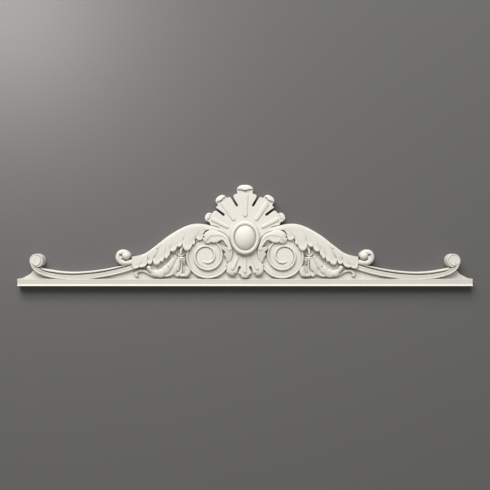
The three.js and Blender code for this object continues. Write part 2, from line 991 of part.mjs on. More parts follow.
function boss() {
  const stone = steps(4).map((t) => {
    const turn = rad(90 * t);
    return [t < 1 ? BOSS.halfWidth * Math.cos(turn) : 0, BOSS.depth - BOSS.rise * (1 - Math.sin(turn))];
  });
  const rim = steps(4).map((t) => {
    const turn = rad(180 * t);
    return [RING.halfWidth + RING.tube * Math.cos(turn), RING.depth + RING.rise * Math.sin(turn)];
  });
  const foot = (r) => [
    [0, -CUT_ALLOWANCE],
    [r, -CUT_ALLOWANCE],
  ];
  const oval = ({ halfWidth, halfHeight }) => ({ z: BOSS.z, stretch: halfHeight / halfWidth, sides: 24 });
  return join([
    turned([...foot(BOSS.halfWidth), ...stone], oval(BOSS)),
    turned([...foot(RING.halfWidth + RING.tube), ...rim, [0, RING.depth - 1]], oval(RING)),
  ]);
}

// The whole casting, cut flat where it meets the wall

function casting() {
  const leaves = [leafBlade(), leafShoulder(), curledLeaf()];
  const side = join([ground(), rail(), tailCurl(), volute(), ...leaves, hollowFloors(), husk()]);
  const raw = join([baseStrip(), side, side.mirror([1, 0, 0]), sunburst(), boss()]);
  const gaps = leafGaps();
  const wall = new THREE.BoxGeometry(LENGTH + 100, 2 * CUT_ALLOWANCE, 400);
  wall.translate(0, CUT_ALLOWANCE, 150);
  return raw.subtract(join([solid(wall), gaps, gaps.mirror([1, 0, 0])]));
}

// A closed surface with every two corners that lie closer than a small distance drawn into one,
// so that cutting and joining leave no slivers.
function welded(geometry, distance) {
  const shift = distance / 2;
  const first = mergeVertices(geometry, distance).translate(shift, shift, shift);
  const merged = mergeVertices(first, distance).translate(-shift, -shift, -shift);
  const corners = merged.index.array;
  const kept = [];
  for (let i = 0; i < corners.length; i += 3) {
    const [a, b, c] = corners.slice(i, i + 3);
    if (a !== b && b !== c && c !== a) kept.push(a, b, c);
  }
  return merged.setIndex(kept);
}

function meshOf(name, shape, material) {
  const { vertProperties, triVerts } = shape.getMesh();
  const geometry = new THREE.BufferGeometry();
  geometry.setAttribute("position", new THREE.BufferAttribute(vertProperties, 3));
  geometry.setIndex(new THREE.BufferAttribute(triVerts, 1));
  const mesh = new THREE.Mesh(welded(geometry, WELD), material);
  mesh.name = name;
  return mesh;
}

const ornament = new THREE.Group();
const relief = meshOf("relief_ornament", casting(), new THREE.MeshStandardMaterial(PLASTER));
relief.position.z = -ORIGIN_HEIGHT;
ornament.add(relief);

export default ornament;
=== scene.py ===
"""A relief ornament for the wall above a door, cast in one piece, with its wall, light and camera."""

import json
import math
from bisect import bisect_right

import bmesh
import bpy
from mathutils import Matrix, Vector

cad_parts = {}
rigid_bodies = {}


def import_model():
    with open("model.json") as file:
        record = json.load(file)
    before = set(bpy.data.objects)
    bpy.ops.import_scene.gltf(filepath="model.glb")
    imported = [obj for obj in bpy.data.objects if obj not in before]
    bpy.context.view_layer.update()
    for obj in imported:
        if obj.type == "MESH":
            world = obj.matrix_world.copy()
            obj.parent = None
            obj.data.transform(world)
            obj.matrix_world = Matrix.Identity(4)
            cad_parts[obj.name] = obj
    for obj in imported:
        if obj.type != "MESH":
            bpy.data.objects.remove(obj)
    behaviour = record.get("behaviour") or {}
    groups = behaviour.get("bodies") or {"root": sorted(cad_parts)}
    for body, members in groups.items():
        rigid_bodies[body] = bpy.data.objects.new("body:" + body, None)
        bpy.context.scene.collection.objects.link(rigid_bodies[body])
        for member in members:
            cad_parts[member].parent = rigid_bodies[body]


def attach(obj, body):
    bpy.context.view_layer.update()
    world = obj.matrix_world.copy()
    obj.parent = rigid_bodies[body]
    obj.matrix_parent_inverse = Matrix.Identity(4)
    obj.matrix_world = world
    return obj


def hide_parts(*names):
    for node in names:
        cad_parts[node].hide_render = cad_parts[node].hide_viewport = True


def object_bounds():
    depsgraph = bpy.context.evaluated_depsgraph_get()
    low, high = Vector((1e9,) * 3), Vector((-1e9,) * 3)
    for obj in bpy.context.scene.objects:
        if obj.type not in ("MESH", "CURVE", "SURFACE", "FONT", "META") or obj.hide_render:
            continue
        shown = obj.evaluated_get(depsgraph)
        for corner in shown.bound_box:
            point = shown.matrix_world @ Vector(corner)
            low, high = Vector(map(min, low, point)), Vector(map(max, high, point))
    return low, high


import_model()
CAD_BOX = [list(corner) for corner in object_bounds()]

bl_info = {
    "name": "Relief Ornament",
    "version": (1, 0, 0),
    "blender": (4, 5, 0),
    "location": "View3D > Sidebar > Ornament",
    "description": "Models a long relief ornament with a sunburst, volutes, leaves and scrolled rails",
    "category": "Object",
}

# The shapes are described in millimetres. X runs along the wall from the centre line, Z up from the
# underside, and a depth is measured out of the wall, towards -Y. The sides are mirror images.

MM = 0.001
HALF_LENGTH = CAD_BOX[1][0] / MM
UNDERSIDE = CAD_BOX[0][2] / MM
# Every piece runs on behind the wall by this much, until the back is cut flat.
CUT_ALLOWANCE = 5.0
# The cutters reach out past the deepest carving.
CUT_TOP = 60.0
# Edges shorter than this, in metres, are closed up once the pieces are joined.
SHORTEST_EDGE = 0.01 * MM
# Faces that meet at a smaller angle than this are shaded as one rounded surface.
CRISP_ANGLE = math.radians(38)
PIECE_NAME = "plaster_casting"

# Curves and profiles


def smooth_step(start, leave, end, arrive, t):
    """The way from start to end, at t from 0 to 1, with the slopes at both ends given."""
    square, cube = t * t, t * t * t
    return (
        start * (2 * cube - 3 * square + 1)
        + leave * (cube - 2 * square + t)
        + end * (3 * square - 2 * cube)
        + arrive * (cube - square)
    )


def between(before, start, end, after, t):
    """A point on the smooth curve from start to end, which the points before and after steer."""
    first = math.sqrt((start - before).length)
    span = math.sqrt((end - start).length)
    last = math.sqrt((after - end).length)
    leave = (start - before) / first - (end - before) / (first + span) + (end - start) / span
    arrive = (end - start) / span - (after - start) / (span + last) + (after - end) / last
    return smooth_step(start, leave * span, end, arrive * span, t)


class Flow:
    """A smooth line through points (x, z) on the wall, read by the share of its length."""

    SAMPLES = 24

    def __init__(self, *points):
        spots = [Vector(point) for point in points]
        guided = [2 * spots[0] - spots[1], *spots, 2 * spots[-1] - spots[-2]]
        self.spots = []
        for i in range(len(spots) - 1):
            for k in range(self.SAMPLES):
                self.spots.append(between(*guided[i : i + 4], k / self.SAMPLES))
        self.spots.append(spots[-1])
        self.marks = [0.0]
        for a, b in zip(self.spots, self.spots[1:]):
            self.marks.append(self.marks[-1] + (b - a).length)
        self.length = self.marks[-1]

    def at(self, u):
        run = min(max(u, 0.0), 1.0) * self.length
        i = min(bisect_right(self.marks, run), len(self.spots) - 1) - 1
        share = (run - self.marks[i]) / (self.marks[i + 1] - self.marks[i])
        return self.spots[i].lerp(self.spots[i + 1], share)

    def way(self, u):
        reach = 0.004
        return (self.at(u + reach) - self.at(u - reach)).normalized()


def lerp(a, b, t):
    return a + (b - a) * t


def ease(x, low, high):
    """0 below low, 1 above high, and a smooth rise between them."""
    t = min(max((x - low) / (high - low), 0.0), 1.0)
    return t * t * (3 - 2 * t)


def ramp(*stops):
    """A value that eases from one stop (u, value) to the next."""

    def value(u):
        if u <= stops[0][0]:
            return stops[0][1]
        for (u0, a), (u1, b) in zip(stops, stops[1:]):
            if u < u1:
                return lerp(a, b, ease(u, u0, u1))
        return stops[-1][1]

    return value


def glide(*stops):
    """A value that runs through its stops (u, value) without a kink or a level place."""
    slopes = []
    for i in range(len(stops)):
        (u0, a), (u1, b) = stops[max(i - 1, 0)], stops[min(i + 1, len(stops) - 1)]
        slopes.append((b - a) / (u1 - u0))

    def value(u):
        u = min(max(u, stops[0][0]), stops[-1][0])
        i = min(bisect_right([stop[0] for stop in stops], u), len(stops) - 1) - 1
        (u0, a), (u1, b) = stops[i], stops[i + 1]
        span = u1 - u0
        return smooth_step(a, slopes[i] * span, b, slopes[i + 1] * span, (u - u0) / span)

    return value


def steps(count, start=0.0, end=1.0):
    return [start + (end - start) * i / count for i in range(count + 1)]


def dome(v):
    """The height of a round section at v, from -1 to 1."""
    return math.sqrt(max(0.0, 1 - v * v))


def across(count):
    """Rows over a rounded section, closer together towards its edges."""
    return [math.sin(math.pi / 2 * v) for v in steps(count, -1, 1)]


def bearing_point(focus, bearing, r, side=0.0):
    """The point at radius r on a bearing from straight up, moved sideways away from the centre line."""
    dx, dz = math.sin(math.radians(bearing)), math.cos(math.radians(bearing))
    away = side if bearing < 90 else -side
    return Vector((dx * r + dz * away, focus + dz * r - dx * away))


# Solids


def place_on_wall(x, depth, z):
    return Vector((x, -depth, z + UNDERSIDE)) * MM


def working_collection(name):
    found = bpy.data.collections.get(name)
    if found is None:
        found = bpy.data.collections.new(name)
        bpy.context.scene.collection.children.link(found)
    return found


def mesh_from(bm, name):
    mesh = bpy.data.meshes.new(name)
    bm.to_mesh(mesh)
    bm.free()
    return mesh


def linked(mesh, group):
    """An object that holds the mesh, in one of the working collections."""
    made = bpy.data.objects.new(mesh.name, mesh)
    working_collection(group).objects.link(made)
    return made


def object_from(bm, name, group):
    """The shape as an object in one of the working collections, with its faces turned outwards."""
    bmesh.ops.recalc_face_normals(bm, faces=bm.faces[:])
    return linked(mesh_from(bm, name), group)


def only(kind, items):
    return [item for item in items if isinstance(item, kind)]


def sheet(name, group, stations, rows, place, front, back=-CUT_ALLOWANCE):
    """A sheet of relief: each station and row of its grid has a place (x, z) and a depth."""
    bm = bmesh.new()
    along, cross = len(stations) - 1, len(rows) - 1
    bmesh.ops.create_grid(bm, x_segments=along, y_segments=cross, size=0.5)
    for vert in bm.verts:
        u = stations[round((vert.co.x + 0.5) * along)]
        v = rows[round((vert.co.y + 0.5) * cross)]
        x, z = place(u, v)
        vert.co = place_on_wall(x, front(u, v), z)
    grown = bmesh.ops.extrude_face_region(bm, geom=bm.faces[:])["geom"]
    for vert in only(bmesh.types.BMVert, grown):
        vert.co.y = -back * MM
    return object_from(bm, name, group)


def band(name, group, line, stations, rows, offset, front, **rest):
    """A sheet along a line, with offset(u, v) the distance from the line."""

    def place(u, v):
        at, way, out = line.at(u), line.way(u), offset(u, v)
        return at.x - way.y * out, at.y + way.x * out

    return sheet(name, group, stations, rows, place, front, **rest)


def strip(name, group, line, stations, rows, half, front, **rest):
    """A band of half-width half(u) on both sides of its line."""
    return band(name, group, line, stations, rows, lambda u, v: v * half(u), front, **rest)


def turned(name, group, profile, x, z, stretch=1.0, sides=48):
    """A turned boss, from a profile of (radius, depth), stretched upwards for an oval."""
    bm = bmesh.new()
    verts = [bm.verts.new((r * MM, -depth * MM, 0)) for r, depth in profile]
    edges = [bm.edges.new(pair) for pair in zip(verts, verts[1:])]
    full_turn = dict(axis=(0, 1, 0), cent=(0, 0, 0), angle=2 * math.pi, steps=sides, use_merge=True)
    bmesh.ops.spin(bm, geom=verts + edges, **full_turn)
    bmesh.ops.remove_doubles(bm, verts=bm.verts[:], dist=1e-6)
    bmesh.ops.scale(bm, vec=(1, 1, stretch), verts=bm.verts[:])
    bmesh.ops.translate(bm, vec=place_on_wall(x, 0, z), verts=bm.verts[:])
    return object_from(bm, name, group)


def plate(name, group, outline, depth, arris=0.0):
    """An outline on the wall, carried straight out to a depth or a depth(z), with its front edge rounded."""
    reach = depth if callable(depth) else lambda z: depth
    bm = bmesh.new()
    face = bm.faces.new([bm.verts.new(place_on_wall(x, -CUT_ALLOWANCE, z)) for x, z in outline])
    grown = bmesh.ops.extrude_face_region(bm, geom=[face])["geom"]
    for vert in only(bmesh.types.BMVert, grown):
        vert.co.y = -reach(vert.co.z / MM - UNDERSIDE) * MM
    if arris:
        rim = only(bmesh.types.BMEdge, grown)
        rounding = dict(affect="EDGES", segments=3, profile=0.5, material=-1, clamp_overlap=True)
        bmesh.ops.bevel(bm, geom=rim, offset=arris * MM, **rounding)
    return object_from(bm, name, group)


def peg(name, radius, top, x, z):
    """A round peg with a flat end."""
    turned(name, SIDE, [(0, -CUT_ALLOWANCE), (radius, -CUT_ALLOWANCE), (radius, top), (0, top)], x, z)


def domed(radius, foot, rise, count):
    """The profile of a round peg whose head rises from its foot as a dome."""
    profile = [(0, -CUT_ALLOWANCE), (radius, -CUT_ALLOWANCE)]
    for angle in steps(count, 0, 90)[:-1]:
        turn = math.radians(angle)
        profile.append((radius * math.cos(turn), foot + rise * math.sin(turn)))
    return [*profile, (0, foot + rise)]


def incised(name, line, count, half, floor):
    """A cutter for a narrow line in the face of the carving, round at the bottom."""
    return strip(name, CUTS, line, steps(count), across(4), half, floor, back=CUT_TOP)


def drilled(name, x, z, radius, floor):
    """A cutter for a small round hole in the face of the carving."""
    profile = [(0, floor), (0.7 * radius, floor + 0.4), (radius, floor + 1.5)]
    profile += [(radius, CUT_TOP), (0, CUT_TOP)]
    turned(name, CUTS, profile, x, z, sides=16)


def united(name, group, pieces, cutters=()):
    """One closed piece from overlapping ones, less the cutters. The pieces are used up."""
    first, others = pieces[0], pieces[1:]
    for operation, tools in (("UNION", others), ("DIFFERENCE", cutters)):
        if not tools:
            continue
        held = bpy.data.collections.new(name + operation)
        bpy.context.scene.collection.children.link(held)
        for tool in tools:
            held.objects.link(tool)
        boolean = first.modifiers.new(operation, "BOOLEAN")
        boolean.operation = operation
        boolean.operand_type = "COLLECTION"
        boolean.collection = held
        boolean.solver = "MANIFOLD"
    bpy.context.view_layer.update()
    done = first.evaluated_get(bpy.context.evaluated_depsgraph_get())
    mesh = bpy.data.meshes.new_from_object(done)
    mesh.name = name
    if not mesh.polygons:
        raise RuntimeError(name + " could not be joined")
    for operation in ("UNION", "DIFFERENCE"):
        held = bpy.data.collections.get(name + operation)
        if held:
            bpy.data.collections.remove(held)
    for piece in (*pieces, *cutters):
        bpy.data.objects.remove(piece)
    return linked(mesh, group)


def without_slivers(mesh):
    """Closes up the hair-thin faces that are left where pieces were joined."""
    bm = bmesh.new()
    bm.from_mesh(mesh)
    bmesh.ops.dissolve_degenerate(bm, dist=SHORTEST_EDGE, edges=bm.edges[:])
    loose = [edge for edge in bm.edges if not edge.link_faces]
    bmesh.ops.delete(bm, geom=loose, context="EDGES")
    bm.to_mesh(mesh)
    bm.free()


def mirrored(source, group):
    """The same piece on the other side of the centre line."""
    bm = bmesh.new()
    bm.from_mesh(source.data)
    bmesh.ops.scale(bm, vec=(-1, 1, 1), verts=bm.verts[:])
    bmesh.ops.reverse_faces(bm, faces=bm.faces[:])
    return linked(mesh_from(bm, source.name + "_mirrored"), group)


# Lines shared by several pieces

RAIL_LINE = Flow(
    (286, 54), (326, 41.7), (367, 32.5), (407, 26.8), (457, 24.2), (506, 28.4), (532, 36),
    (547, 45), (556, 57), (558.5, 68), (556, 76),
)

LEAF_EDGE = Flow(
    (62, 150), (90, 159.5), (112, 164), (134, 164), (158, 157), (198, 135), (237, 105), (264, 86.5),
    (297, 79),
)

COVE_LINE = Flow((595, 19.6), (588, 21.2), (582, 24.5), (572, 29.8), (566.5, 33.8), (560, 41))

SIDE = "Side pieces"
MIDDLE = "Middle pieces"
CUTS = "Cuts"


def leaf_edge_at(x):
    """The point of the leaf's upper edge at a distance from the centre line, and its direction there."""
    low, high = 0.0, 1.0
    for _ in range(24):
        middle = (low + high) / 2
        if LEAF_EDGE.at(middle).x < x:
            low = middle
        else:
            high = middle
    return LEAF_EDGE.at(low), LEAF_EDGE.way(low)


# Base, ground and rails


def base_strip(sizes):
    """The straight strip under it all: a face that leans out at the top, above a slanting lip."""
    depth, height, lip = sizes.base_depth / MM, sizes.base_height / MM, sizes.lip / MM
    lean = 2.4
    profile = [
        (-CUT_ALLOWANCE, 0),
        (depth + lip - 4.0, 0),
        (depth + lip - 0.3, 0.8),
        (depth + lip, 1.4),
        (depth + 0.4, 4.4),
        (depth, 5.0),
        (depth + lean, height - 1.2),
        (depth + lean - 0.3, height - 0.4),
        (depth + lean - 1.0, height),
        (-CUT_ALLOWANCE, height),
    ]
    bm = bmesh.new()
    face = bm.faces.new([bm.verts.new(place_on_wall(-HALF_LENGTH, d, z)) for d, z in profile])
    grown = bmesh.ops.extrude_face_region(bm, geom=[face])["geom"]
    far = only(bmesh.types.BMVert, grown)
    bmesh.ops.translate(bm, vec=(2 * HALF_LENGTH * MM, 0, 0), verts=far)
    return object_from(bm, "base_strip", MIDDLE)


def ground(sizes):
    """The flat field behind the carving, with a cove at its outer end."""
    inset = 8.0
    height = sizes.base_height / MM
    outline = [(-1, 0), (HALF_LENGTH, 0), (HALF_LENGTH, height)]
    outline += [tuple(COVE_LINE.at(u)) for u in steps(14)]
    for u in steps(24, 0.84, 0.04):
        outline.append(tuple(RAIL_LINE.at(u)))
    for u in steps(24, 0.88, 0.1):
        at, way = LEAF_EDGE.at(u), LEAF_EDGE.way(u)
        outline.append((at.x + way.y * inset, at.y - way.x * inset))
    outline.append((-1, 160))
    return plate("ground", SIDE, outline, sizes.ground_depth / MM, arris=0.8)


def rail(sizes):
    """A flat face with a rim along its lower edge, and a bead above it beyond a dark groove."""
    half, depth = sizes.fascia_width / MM / 2, sizes.fascia_depth / MM
    rim_half, rim_rise, tilt, floor = 1.6, 1.6, 0.16, 18.0
    bead, bead_start, bead_rise = sizes.bead_width / MM, half + 1.6, 3.2
    lift = ramp((0, depth), (0.76, depth), (0.93, 32.6), (1, 32.6))
    merging = ramp((0.3, 1), (0.42, 0), (0.56, 0), (0.66, 1))
    grooved = ramp((0.8, 1), (0.88, 0))
    narrow = ramp((0.9, 1), (1, 0.6))
    sink = ramp((0.74, 1), (0.86, 0.68), (1, 0.6))

    def fascia_offset(u, out):
        return out * (sink(u) if out > 0 else narrow(u))

    def fascia_front(u, out):
        edge = out + half
        raised = rim_rise * merging(u) * dome((edge - rim_half) / rim_half) if edge < 2 * rim_half else 0.0
        face = lift(u) + raised + tilt * out
        return lerp(face, floor, ease(out, half - 1.1, half - 0.5) * grooved(u))

    rows = [-half + edge for edge in (0, 0.2, 0.8, 1.6, 2.4, 3.0, 3.3)]
    rows += [0, half - 2.4, half - 1.2, half - 0.9, half - 0.7, half - 0.4, bead_start + 1]
    band("rail_fascia", SIDE, RAIL_LINE, steps(110), rows, fascia_offset, fascia_front)
    width = ramp((0, 1.6), (0.06, 2.4), (0.22, 0.9 * bead), (0.35, bead), (0.8, bead), (0.88, 3.6))
    band(
        "rail_bead",
        SIDE,
        RAIL_LINE,
        steps(100, 0, 0.88),
        across(12),
        lambda u, v: bead_start * sink(u) + width(u) * (0.5 + v / 2),
        lambda u, v: sizes.bead_depth / MM - bead_rise + bead_rise * dome(v),
    )


def roll(sizes):
    """The end of the rail, wound into a roll: a disc inside a round rim."""
    radius, depth = sizes.roll_radius / MM, sizes.roll_depth / MM
    profile = [
        (0, -CUT_ALLOWANCE),
        (radius, -CUT_ALLOWANCE),
        (radius, depth - 3),
        (radius - 0.5, depth - 1.4),
        (radius - 1.5, depth - 0.7),
        (radius - 2.7, depth - 1.3),
        (radius - 3.3, depth - 2.6),
        (0, depth - 2.6),
    ]
    turned("outer_roll", SIDE, profile, x=547.5, z=67.5, sides=64)
    disc = 13.6
    face = [(0, -CUT_ALLOWANCE), (disc, -CUT_ALLOWANCE), (disc, depth - 1.6), (disc - 0.5, depth - 0.5)]
    face += [(disc - 1.3, depth - 0.1), (disc - 2.4, depth - 0.5), (0, depth - 0.6)]
    turned("outer_roll_disc", SIDE, face, x=549.0, z=68.0, sides=64)
    winding = Flow((557.3, 60.9), (554.1, 55.9), (548.8, 51.6), (542.3, 50.1), (536.3, 51.4))
    half, floor = ramp((0, 0.3), (0.4, 1.1), (1, 1.0)), 27
    incised("outer_roll_winding", winding, 32, half, lambda u, v: floor - dome(v))


def tail_curl():
    """The scroll on the leaf's tail: a fat round stem that winds round a ball."""
    line = Flow(
        (284, 67), (298, 64), (311, 62.4), (325.4, 64.4), (333, 75), (329, 86.5), (319, 89.6),
        (309.5, 86), (306, 79),
    )
    half = glide((0, 7.2), (0.15, 6.8), (0.35, 7.2), (0.65, 7.6), (0.8, 7.2), (1, 3))
    lift, stem_rise = glide((0, 23), (0.2, 22), (0.5, 23.5), (0.75, 25), (0.88, 25.5), (1, 21)), 6
    strip("tail_curl", SIDE, line, steps(80), across(14), half, lambda u, v: lift(u) + stem_rise * dome(v))
    for name, x, z, radius, foot, rise in (
        ("ball", 313.2, 80.8, 11.6, 24.0, 10.0),
        ("bridge", 326.6, 75, 6.0, 23.0, 6.0),
    ):
        turned("tail_curl_" + name, SIDE, domed(radius, foot, rise, 10), x, z)
    peg("tail_curl_core", radius=11, top=19, x=315.5, z=77.5)
    crescent, floor = ramp((0, 0.5), (0.4, 1.5), (1, 0.7)), 22
    for name, points in (
        ("upper", ((332, 81.5), (327.6, 84), (324, 82.6), (321.6, 79))),
        ("lower", ((320.8, 74.2), (318.6, 70.2), (313.6, 67.9), (307.4, 68.9))),
    ):
        incised("tail_curl_" + name, Flow(*points), 24, crescent, lambda u, v: floor - dome(v))


# Volute


def volute(sizes):
    """A spiral that climbs to its eye, each turn with a round rim and a fine groove inside the rim."""
    x, z, bearing = 101.2, 79.8, 205.0
    radius, pitch, closing = sizes.volute_radius / MM, sizes.volute_pitch / MM, 1.55
    start, turns = -0.12, 2.32
    depth, climb, climbing_turns, swelling = 20.5, 3.2, 1.3, 3.4
    rim_width, rim_rise, groove_width, reach = 5.4, 3.2, 1.8, 36.0
    groove = ramp((0, 0.9), (1.1, 0.8), (1.4, 2.2), (1.85, 2.2), (2.1, 0))
    field = reach - rim_width - groove_width
    rows = [field * share for share in steps(6)]
    rows += [field + groove_width * (1 + v) / 2 for v in across(6)[1:]]
    rows += [reach - rim_width * (1 - v) / 2 for v in across(10)[1:]]

    def rim_at(turn):
        return radius - pitch * turn + closing * turn * turn

    def level(turn):
        return depth + climb * min(turn, climbing_turns)

    def swell(turn, out):
        """The outer band stands higher where it passes under the leaves."""
        return swelling * ease(turn, 0.3, 0.5) * (1 - ease(turn, 0.8, 1.05)) * ease(out, 9.6, 14.4)

    def place(turn, out):
        angle = math.radians(bearing + 360 * turn)
        r = max(1.0, rim_at(turn) - reach + out)
        return x + r * math.cos(angle), z + r * math.sin(angle)

    def front(turn, out):
        edge = out - (reach - rim_width)
        face = level(turn) + swell(turn, out)
        if edge > 0:
            fade = 1 - ease(turn, turns - 0.16, turns)
            return face + rim_rise * fade * dome(2 * edge / rim_width - 1) ** 0.7
        hollow = dome(2 * edge / groove_width + 1) if edge > -groove_width else 0.0
        return face - groove(turn) * hollow

    pieces = 4
    ends = steps(pieces, start, turns)
    for i in range(pieces):
        sheet(f"volute_turn_{i + 1}", SIDE, steps(60, ends[i], ends[i + 1]), rows, place, front)
    peg("volute_eye", radius=3.0, top=level(turns) - 0.1, x=x, z=z)


# Acanthus leaf

# The lower edge of the leaf, from the boss out: the notches, and between them the bottoms of the round
# lobes and of the teeth beside them. The long notches run on a little way up the leaf.
LEAF_NOTCHES = (
    (109.5, 133), (129.6, 131), (138.9, 112), (164.2, 114), (178.7, 106.5), (196.6, 93.5),
    (201.3, 81.5), (212.6, 78), (222.7, 66), (242.4, 72.7), (256.9, 64), (278.5, 52), (296, 54),
)
LOBE_BOTTOMS = (
    (119.9, 120.4), (134.5, 108.8), (152.8, 93), (173.1, 103), (189.7, 90.9), (199.2, 79.8),
    (206.8, 72.5), (216.6, 64.6), (234.5, 56.1), (250.8, 57.7), (273.3, 49.3), (291.2, 46.6),
)
CREASES = (129.6, 164.2, 196.6, 212.6, 242.4, 256.9, 278.5)


def lobe_quarters():
    """Each quarter round of the lower edge, as the bottom of its lobe and the notch it rises to."""
    for i, bottom in enumerate(LOBE_BOTTOMS):
        yield bottom, LEAF_NOTCHES[i]
        yield bottom, LEAF_NOTCHES[i + 1]


def leaf_lower_edge(x):
    """The height of the scalloped lower edge at a distance from the centre line."""
    for (bottom, low), (notch, high) in lobe_quarters():
        if min(bottom, notch) <= x <= max(bottom, notch):
            return low + (high - low) * (1 - dome((x - bottom) / (notch - bottom)))
    return LEAF_NOTCHES[-1][1] if x > LEAF_NOTCHES[-1][0] else LEAF_NOTCHES[0][1]


def leaf_blade():
    """The leaf over the volute: its fibres sweep from the upper edge out to the lobes."""
    lean, bend, crease_half, crease_depth = 34.0, 0.38, 2.4, 1.5
    first, last = LEAF_NOTCHES[0][0], LEAF_NOTCHES[-1][0]
    rise = LEAF_EDGE.at(1).y - leaf_lower_edge(last) - 1
    runs = {round(last + rise * share, 3) for share in steps(12, 0.08, 1)}
    for (bottom, _), (notch, _) in lobe_quarters():
        for turn in steps(8, 0, 90):
            runs.add(round(lerp(bottom, notch, math.sin(math.radians(turn))), 3))
    stations = sorted(runs)
    swell = glide((first, 30.6), (120, 31.8), (160, 33.6), (230, 31.5), (last, 29.5))
    section = ramp(
        (0, -7), (0.05, -2.6), (0.12, -0.8), (0.4, 0.8), (0.75, 0.2), (0.9, -0.7), (0.965, 0.3),
        (0.99, 0), (1, -1.6),
    )

    def fibre(run, v):
        at, way = leaf_edge_at(min(run, last) - lean)
        if run <= last:
            end = Vector((run, leaf_lower_edge(run)))
        else:
            end = Vector((last + 1.5, leaf_lower_edge(last) + run - last))
        knee = at + way * (bend * (end - at).length)
        return at * (1 - v) ** 2 + knee * (2 * v * (1 - v)) + end * v**2

    def front(run, v):
        nearest = min(abs(run - crease) for crease in CREASES)
        crease = crease_depth * (1 - ease(nearest, 0, crease_half)) * ease(v, 0.6, 0.95)
        return swell(run) + section(v) - crease

    rows = [0, 0.015, 0.04, 0.08, 0.13, 0.2, 0.28, 0.36, 0.44, 0.52, 0.6, 0.67, 0.74, 0.8]
    rows += [0.85, 0.89, 0.925, 0.95, 0.97, 0.985, 0.995, 1]
    return sheet("leaf_blade", SIDE, stations, rows, fibre, front)


def leaf_shoulder():
    """Where the leaf grows out of the sunburst."""
    end = 0.34
    width = ramp((0, 11), (0.12, 17), (end, 26))
    lift = ramp((0, 27.5), (0.05, 31), (0.1, 33), (end, 32.8))
    section = ramp((0, -3.5), (0.1, -1), (0.3, 0), (0.7, 0.3), (1, -2))
    return band(
        "leaf_shoulder",
        SIDE,
        LEAF_EDGE,
        steps(40, 0, end),
        [0, 0.03, 0.08, 0.16, 0.3, 0.5, 0.75, 1],
        lambda u, v: -width(u) * v,
        lambda u, v: lift(u) + section(v),
    )


def curled_leaf():
    """The leaf that climbs beside the boss and curls over the volute, folded along its middle."""
    line = Flow(
        (38.5, 96), (40, 104.3), (44.3, 113.6), (50, 123.6), (57.4, 130.2), (67.2, 131.8),
        (75.1, 131.2), (92.2, 131.2), (102, 126.6), (109.6, 123.6),
    )
    half = glide(
        (0, 4.5), (0.09, 5), (0.2, 6), (0.325, 7.2), (0.4, 8.2), (0.47, 9.6), (0.54, 11.9),
        (0.62, 15.3), (0.81, 16.6), (0.93, 13.8), (1, 10.5),
    )
    fold, rise, curl = 1.3, 3, 0.6

    def front(u, v):
        lift = ramp((0, 31), (0.3, 32), (0.8, 31.8), (1, 29.6))(u)
        crease = glide((0, 0), (0.4, 0.05), (0.6, 0.12), (0.8, -0.1), (1, -0.75))(u)
        under = fold * ramp((0.15, 0), (0.35, 1))(u) * (1 - ease(v, crease - 0.07, crease + 0.07))
        turned_edge = curl * ease(-v, 0.8, 1)
        return lift + rise * dome(0.97 * max(v, crease)) - under - turned_edge

    strip("curled_leaf", SIDE, line, steps(90), across(30), half, front)
    foot = (
        (33.5, 104), (32.7, 85), (36, 71), (44.8, 63), (48.2, 66.7), (49, 73.3), (52.2, 79),
        (55.8, 83.3), (54.3, 87.2), (51.4, 89.3), (54.8, 93.5), (59.8, 97.6), (60.5, 101.2),
        (55.3, 103.6), (44, 103),
    )
    plate("curled_leaf_foot", SIDE, foot, ramp((63, 25.2), (76, 29.2), (104, 33.5)), arris=1.2)


def hollow_floors():
    """The shallow floors beside the volute, inside the husk spray, and between the spray and the leaf."""
    beside_volute = ((74, 128), (44, 124), (43, 96), (62, 92), (76, 108))
    plate("volute_hollow", SIDE, beside_volute, depth=23)
    in_spray = ((170, 78), (157, 74), (155, 60), (157, 28), (170, 28))
    plate("husk_hollow", SIDE, in_spray, depth=17.5)
    below_leaf = ((140, 125), (165, 120), (200, 100), (240, 80), (262, 64))
    over_spray = ((252, 50), (238, 38), (221, 36), (205, 47), (190, 64), (178, 82), (150, 84))
    plate("leaf_hollow", SIDE, below_leaf + over_spray, depth=19)


